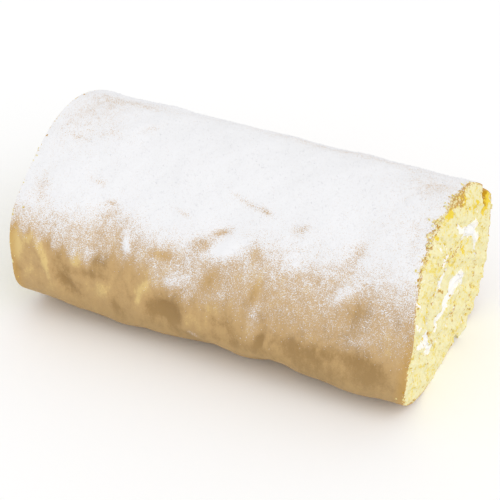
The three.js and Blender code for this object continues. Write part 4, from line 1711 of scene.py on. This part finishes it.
def scattered(name, surface, lump, count, inputs):
    """Scatters about a number of lumps over a surface's mesh."""
    base = new_object(name + "_base", surface.copy())
    piece = new_object(name + "_lump", lump)
    density = count / attribute_area(surface, inputs["Where"])
    made = grown(base, name, shared_tree("scattered_pieces", scatter_tree),
                 {"Piece": piece, "Density": density, **inputs})
    bpy.data.objects.remove(piece)
    return made


def shared_tree(name, maker):
    """A node tree that is built once."""
    return bpy.data.node_groups.get(name) or maker()


class CakeRollSizes(bpy.types.PropertyGroup):
    """Sizes that give the crumb, the skin and the sugar their texture."""

    pore_size: bpy.props.FloatProperty(
        name="Pore size", description="Distance between the large pores of the crumb",
        default=0.0032, min=0.001, unit="LENGTH")
    pore_depth: bpy.props.FloatProperty(
        name="Pore depth", description="Depth of the large pores",
        default=0.0012, min=0.0, unit="LENGTH")
    crumb_height: bpy.props.FloatProperty(
        name="Crumb height", description="Height of the rough crumb between the pores",
        default=0.0008, min=0.0, unit="LENGTH")
    wrinkle_height: bpy.props.FloatProperty(
        name="Wrinkle height", description="Height of the fine wrinkles of the skin",
        default=0.00045, min=0.0, unit="LENGTH")
    powder_height: bpy.props.FloatProperty(
        name="Powder height", description="Thickness of the icing sugar where it covers fully",
        default=0.0003, min=0.0, unit="LENGTH")
    grain_size: bpy.props.FloatProperty(
        name="Grain size", description="Radius of a grain of icing sugar",
        default=0.00016, min=0.00005, unit="LENGTH")
    grain_count: bpy.props.IntProperty(
        name="Grains", description="Number of loose grains of icing sugar",
        default=21000, min=0)
    clump_size: bpy.props.FloatProperty(
        name="Clump size", description="Radius of a clump of icing sugar",
        default=0.00026, min=0.0001, unit="LENGTH")
    clump_count: bpy.props.IntProperty(
        name="Clumps", description="Number of clumps of icing sugar", default=1200, min=0)
    crumb_size: bpy.props.FloatProperty(
        name="Loose crumb size", description="Radius of a loose crumb",
        default=0.0004, min=0.0001, unit="LENGTH")
    crumb_count: bpy.props.IntProperty(
        name="Loose crumbs", description="Number of loose crumbs", default=3800, min=0)


class CakeRollColours(bpy.types.PropertyGroup):
    """Colours of the cake, the cream and the sugar."""

    crumb: bpy.props.FloatVectorProperty(
        name="Crumb", description="Pale yellow of the crumb's surface",
        default=srgb(240, 232, 184), subtype="COLOR", min=0, max=1)
    # Painted highlight on the finest raised crumbs
    crumb_highlight: bpy.props.FloatVectorProperty(
        name="Crumb, bright", description="Near white of the finest raised crumbs",
        default=srgb(247, 244, 224), subtype="COLOR", min=0, max=1)
    # Saturated yellow of moist patches, and painted shade in the pores
    crumb_rich: bpy.props.FloatVectorProperty(
        name="Crumb, rich", description="Saturated yellow of moist patches and pores",
        default=srgb(236, 215, 112), subtype="COLOR", min=0, max=1)
    # Painted shade in the deepest pores and tears
    crumb_pore_shade: bpy.props.FloatVectorProperty(
        name="Crumb, deep", description="Golden colour in the deepest pores and tears",
        default=srgb(232, 200, 74), subtype="COLOR", min=0, max=1)
    # Partly painted shade in the torn hollows
    crumb_golden: bpy.props.FloatVectorProperty(
        name="Crumb, golden", description="Golden crumb where it is torn deepest",
        default=srgb(238, 210, 72), subtype="COLOR", min=0, max=1)
    # Umber: painted shade at the bottom of the deepest tear, and the toasted brown of torn skin and
    # flakes
    crumb_umber: bpy.props.FloatVectorProperty(
        name="Crumb, umber", description="Golden brown at the bottom of the deepest tear",
        default=srgb(198, 150, 24), subtype="COLOR", min=0, max=1)
    crust: bpy.props.FloatVectorProperty(
        name="Crust", description="Browned edge of the sheet on the cut face",
        default=srgb(202, 159, 84), subtype="COLOR", min=0, max=1)
    skin: bpy.props.FloatVectorProperty(
        name="Skin", description="Tan of the bare skin",
        default=srgb(199, 164, 112), subtype="COLOR", min=0, max=1)
    # Darker tan of the skin's mottling, and painted shade in dents
    skin_dark_and_painted_shade: bpy.props.FloatVectorProperty(
        name="Skin, deep", description="Darker tan at the bottom of dents",
        default=srgb(162, 129, 80), subtype="COLOR", min=0, max=1)
    # Lighter tan of the skin's mottling, and painted highlight on folds
    skin_light_and_painted_highlight: bpy.props.FloatVectorProperty(
        name="Skin, ridge", description="Lighter yellow tan on folds",
        default=srgb(224, 194, 130), subtype="COLOR", min=0, max=1)
    skin_speck: bpy.props.FloatVectorProperty(
        name="Skin, speck", description="Small brown specks in the skin",
        default=srgb(178, 136, 82), subtype="COLOR", min=0, max=1)
    skin_veiled: bpy.props.FloatVectorProperty(
        name="Skin, veiled", description="Skin seen through a breath of sugar",
        default=srgb(214, 191, 166), subtype="COLOR", min=0, max=1)
    # Painted shade of the skin low down, near the floor
    skin_shaded: bpy.props.FloatVectorProperty(
        name="Skin, shaded", description="Dull olive tan of the skin low down",
        default=srgb(174, 146, 100), subtype="COLOR", min=0, max=1)
    cream: bpy.props.FloatVectorProperty(
        name="Cream", description="White of the whipped cream",
        default=srgb(243, 242, 240), subtype="COLOR", min=0, max=1)
    smear: bpy.props.FloatVectorProperty(
        name="Smear", description="White of cream wiped thinly over the crumb",
        default=srgb(254, 250, 242), subtype="COLOR", min=0, max=1)
    sugar: bpy.props.FloatVectorProperty(
        name="Sugar", description="White of the icing sugar",
        default=srgb(240, 240, 242), subtype="COLOR", min=0, max=1)
    floor: bpy.props.FloatVectorProperty(
        name="Floor", description="Plain pale floor",
        default=srgb(254, 254, 254), subtype="COLOR", min=0, max=1)


class CakeRollStage(bpy.types.PropertyGroup):
    """Camera and light."""

    azimuth: bpy.props.FloatProperty(
        name="Azimuth", description="How far round the camera stands towards the cut end",
        default=26.0 * RADIAN, unit="ROTATION")
    elevation: bpy.props.FloatProperty(
        name="Elevation", description="How far the camera looks down",
        default=35.0 * RADIAN, unit="ROTATION")
    distance: bpy.props.FloatProperty(
        name="Distance", description="Distance of the camera from its aim",
        default=0.62, unit="LENGTH")
    aim: bpy.props.FloatVectorProperty(
        name="Aim", description="Where the camera looks",
        default=(0.0004, -0.0038, 0.0312), unit="LENGTH")
    lens: bpy.props.FloatProperty(
        name="Lens", description="Focal length in millimetres for a 36 mm sensor",
        default=108.5, min=20)
    sky: bpy.props.FloatProperty(
        name="Sky", description="Strength of the even light from all round", default=0.82, min=0)
    key: bpy.props.FloatProperty(
        name="Key", description="Strength of the broad soft light from above the cut end",
        default=0.94, min=0)


def sizes():
    return bpy.context.scene.cake_roll_sizes


def colours():
    return bpy.context.scene.cake_roll_colours


class CAKEROLL_OT_make_sponge(bpy.types.Operator):
    """Makes the rolled sponge with its skin and its two cut faces"""

    bl_idname = "cake_roll.make_sponge"
    bl_label = "Make the sponge"

    def execute(self, context):
        mesh, shift = Sheet().mesh()
        context.scene["cake_roll_shift"] = shift.tolist()
        given = sizes()
        sponge = grown(new_object("sponge_base", mesh), "sponge_roll", sponge_tree(), {
            "Pore Size": given.pore_size,
            "Pore Depth": given.pore_depth,
            "Crumb Height": given.crumb_height,
            "Wrinkle Height": given.wrinkle_height,
            "Powder Height": given.powder_height,
            "Skin": skin_material(colours()),
            "Crumb": crumb_material(colours()),
        })
        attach(sponge, BODY)
        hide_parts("sponge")
        return {"FINISHED"}


class CAKEROLL_OT_make_cream(bpy.types.Operator):
    """Makes the cream that fills the space between the turns"""

    bl_idname = "cake_roll.make_cream"
    bl_label = "Make the cream"

    def execute(self, context):
        shift = np.array(context.scene["cake_roll_shift"])
        cream = new_object("cream_spiral", cream_mesh(shift))
        cream.data.materials.append(cream_material(colours()))
        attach(cream, BODY)
        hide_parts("cream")
        return {"FINISHED"}


class CAKEROLL_OT_make_sugar(bpy.types.Operator):
    """Dusts the skin with grains and clumps of icing sugar"""

    bl_idname = "cake_roll.make_sugar"
    bl_label = "Make the icing sugar"

    def execute(self, context):
        given = sizes()
        surface = bpy.data.objects["sponge_roll"].data
        cover = read_points(surface, "sugar")
        rise = read_heights(surface)
        clear = ease(rise, *SUGAR_CLEAR)
        thin = np.clip(GRAINS_GAIN * cover * (GRAINS_GONE_AT - cover), 0, 1)
        set_attribute(surface, "dusting", thin * (cover > GRAINS_FROM_COVER) * clear)
        thick = np.clip(cover * CLUMPS_GAIN - CLUMPS_LOSS, 0, 1)
        set_attribute(surface, "heaping", thick * clear)
        finish = sugar_material(colours())
        kinds = (
            ("sugar_grains", "dusting", given.grain_count, given.grain_size, 0, 0.6, 5),
            ("sugar_clumps", "heaping", given.clump_count, given.clump_size, 1, 0.55, 8),
        )
        for name, where, count, size, split, spread, seed in kinds:
            lump = lump_mesh(name + "_lump", SUGAR_UNEVEN, seed, split)
            made = scattered(name, surface, lump, count, {
                "Where": where, "Size": size, "Size Spread": spread, "Flatness": 0.6,
                "Lift": size * SUGAR_LIFT, "Seed": seed, "Finish": finish})
            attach(made, BODY)
        return {"FINISHED"}


class CAKEROLL_OT_make_crumbs(bpy.types.Operator):
    """Scatters loose crumbs on the cut faces and along the torn rim"""

    bl_idname = "cake_roll.make_crumbs"
    bl_label = "Make the crumbs"

    def execute(self, context):
        given = sizes()
        surface = bpy.data.objects["sponge_roll"].data
        lump = lump_mesh("crumb_lump", CRUMB_UNEVEN, CRUMB_SEED, 1)
        made = scattered("loose_crumbs", surface, lump, given.crumb_count, {
            "Where": "loose", "Size": given.crumb_size, "Size Spread": 0.65, "Flatness": 0.75,
            "Lift": 0.0, "Seed": CRUMB_SEED, "Finish": loose_crumb_material(colours())})
        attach(made, BODY)
        return {"FINISHED"}


class CAKEROLL_OT_make_flakes(bpy.types.Operator):
    """Makes the flakes of skin torn up beside the cuts"""

    bl_idname = "cake_roll.make_flakes"
    bl_label = "Make the torn flakes"

    def execute(self, context):
        shift = np.array(context.scene["cake_roll_shift"])
        flakes = new_object("torn_flakes", flake_mesh(FLAKES, shift))
        flakes.data.materials.append(flake_material(colours()))
        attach(flakes, BODY)
        return {"FINISHED"}


class CAKEROLL_OT_make_stage(bpy.types.Operator):
    """Makes the floor, the light and the camera"""

    bl_idname = "cake_roll.make_stage"
    bl_label = "Make the stage"

    def execute(self, context):
        given = context.scene.cake_roll_stage
        self.floor()
        self.light(context, given)
        self.camera(context, given)
        return {"FINISHED"}

    def floor(self):
        half = 4.0
        mesh = bpy.data.meshes.new("floor")
        corners = [(-half, -half, 0), (half, -half, 0), (half, half, 0), (-half, half, 0)]
        mesh.from_pydata(corners, [], [(0, 1, 2, 3)])
        mesh.materials.append(floor_material(colours()))
        new_object("floor", mesh)

    def light(self, context, given):
        world = bpy.data.worlds.new("soft_studio")
        world.use_nodes = True
        sky = world.node_tree.nodes["Background"]
        sky.inputs["Color"].default_value = (1.0, 1.0, 1.0, 1.0)
        sky.inputs["Strength"].default_value = given.sky
        context.scene.world = world
        context.scene.view_settings.view_transform = "Standard"
        lamp = bpy.data.lights.new("key", "SUN")
        lamp.angle = KEY_WIDTH * RADIAN
        lamp.energy = given.key
        holder = bpy.data.objects.new("key", lamp)
        holder.rotation_euler = (-Vector(KEY_FROM)).to_track_quat("-Z", "Y").to_euler()
        context.scene.collection.objects.link(holder)

    def camera(self, context, given):
        lens = bpy.data.cameras.new("camera")
        lens.lens = given.lens
        lens.sensor_width = SENSOR_WIDTH
        a, e = given.azimuth, given.elevation
        back = Vector((math.sin(a) * math.cos(e), -math.cos(a) * math.cos(e), math.sin(e)))
        camera = bpy.data.objects.new("camera", lens)
        camera.location = Vector(given.aim) + back * given.distance
        camera.rotation_euler = (-back).to_track_quat("-Z", "Y").to_euler()
        context.scene.collection.objects.link(camera)
        context.scene.camera = camera


OPERATORS = (
    CAKEROLL_OT_make_sponge,
    CAKEROLL_OT_make_cream,
    CAKEROLL_OT_make_sugar,
    CAKEROLL_OT_make_crumbs,
    CAKEROLL_OT_make_flakes,
    CAKEROLL_OT_make_stage,
)
SETTINGS = (
    ("cake_roll_sizes", CakeRollSizes),
    ("cake_roll_colours", CakeRollColours),
    ("cake_roll_stage", CakeRollStage),
)


class VIEW3D_PT_cake_roll(bpy.types.Panel):
    """Lists the steps that make the cake roll, and their sizes and colours"""

    bl_label = "Lemon Cake Roll"
    bl_space_type = "VIEW_3D"
    bl_region_type = "UI"
    bl_category = "Cake Roll"

    def draw(self, context):
        for operator in OPERATORS:
            self.layout.operator(operator.bl_idname)
        for name, kind in SETTINGS:
            box = self.layout.box()
            for field in kind.__annotations__:
                box.prop(getattr(context.scene, name), field)


CLASSES = (*(kind for _, kind in SETTINGS), *OPERATORS, VIEW3D_PT_cake_roll)


def register():
    for kind in CLASSES:
        bpy.utils.register_class(kind)
    for name, kind in SETTINGS:
        setattr(bpy.types.Scene, name, bpy.props.PointerProperty(type=kind))


def unregister():
    for name, _ in SETTINGS:
        delattr(bpy.types.Scene, name)
    for kind in reversed(CLASSES):
        bpy.utils.unregister_class(kind)


def main():
    register()
    bpy.ops.cake_roll.make_sponge()
    bpy.ops.cake_roll.make_cream()
    bpy.ops.cake_roll.make_sugar()
    bpy.ops.cake_roll.make_crumbs()
    bpy.ops.cake_roll.make_flakes()
    bpy.ops.cake_roll.make_stage()


if __name__ == "__main__":
    main()
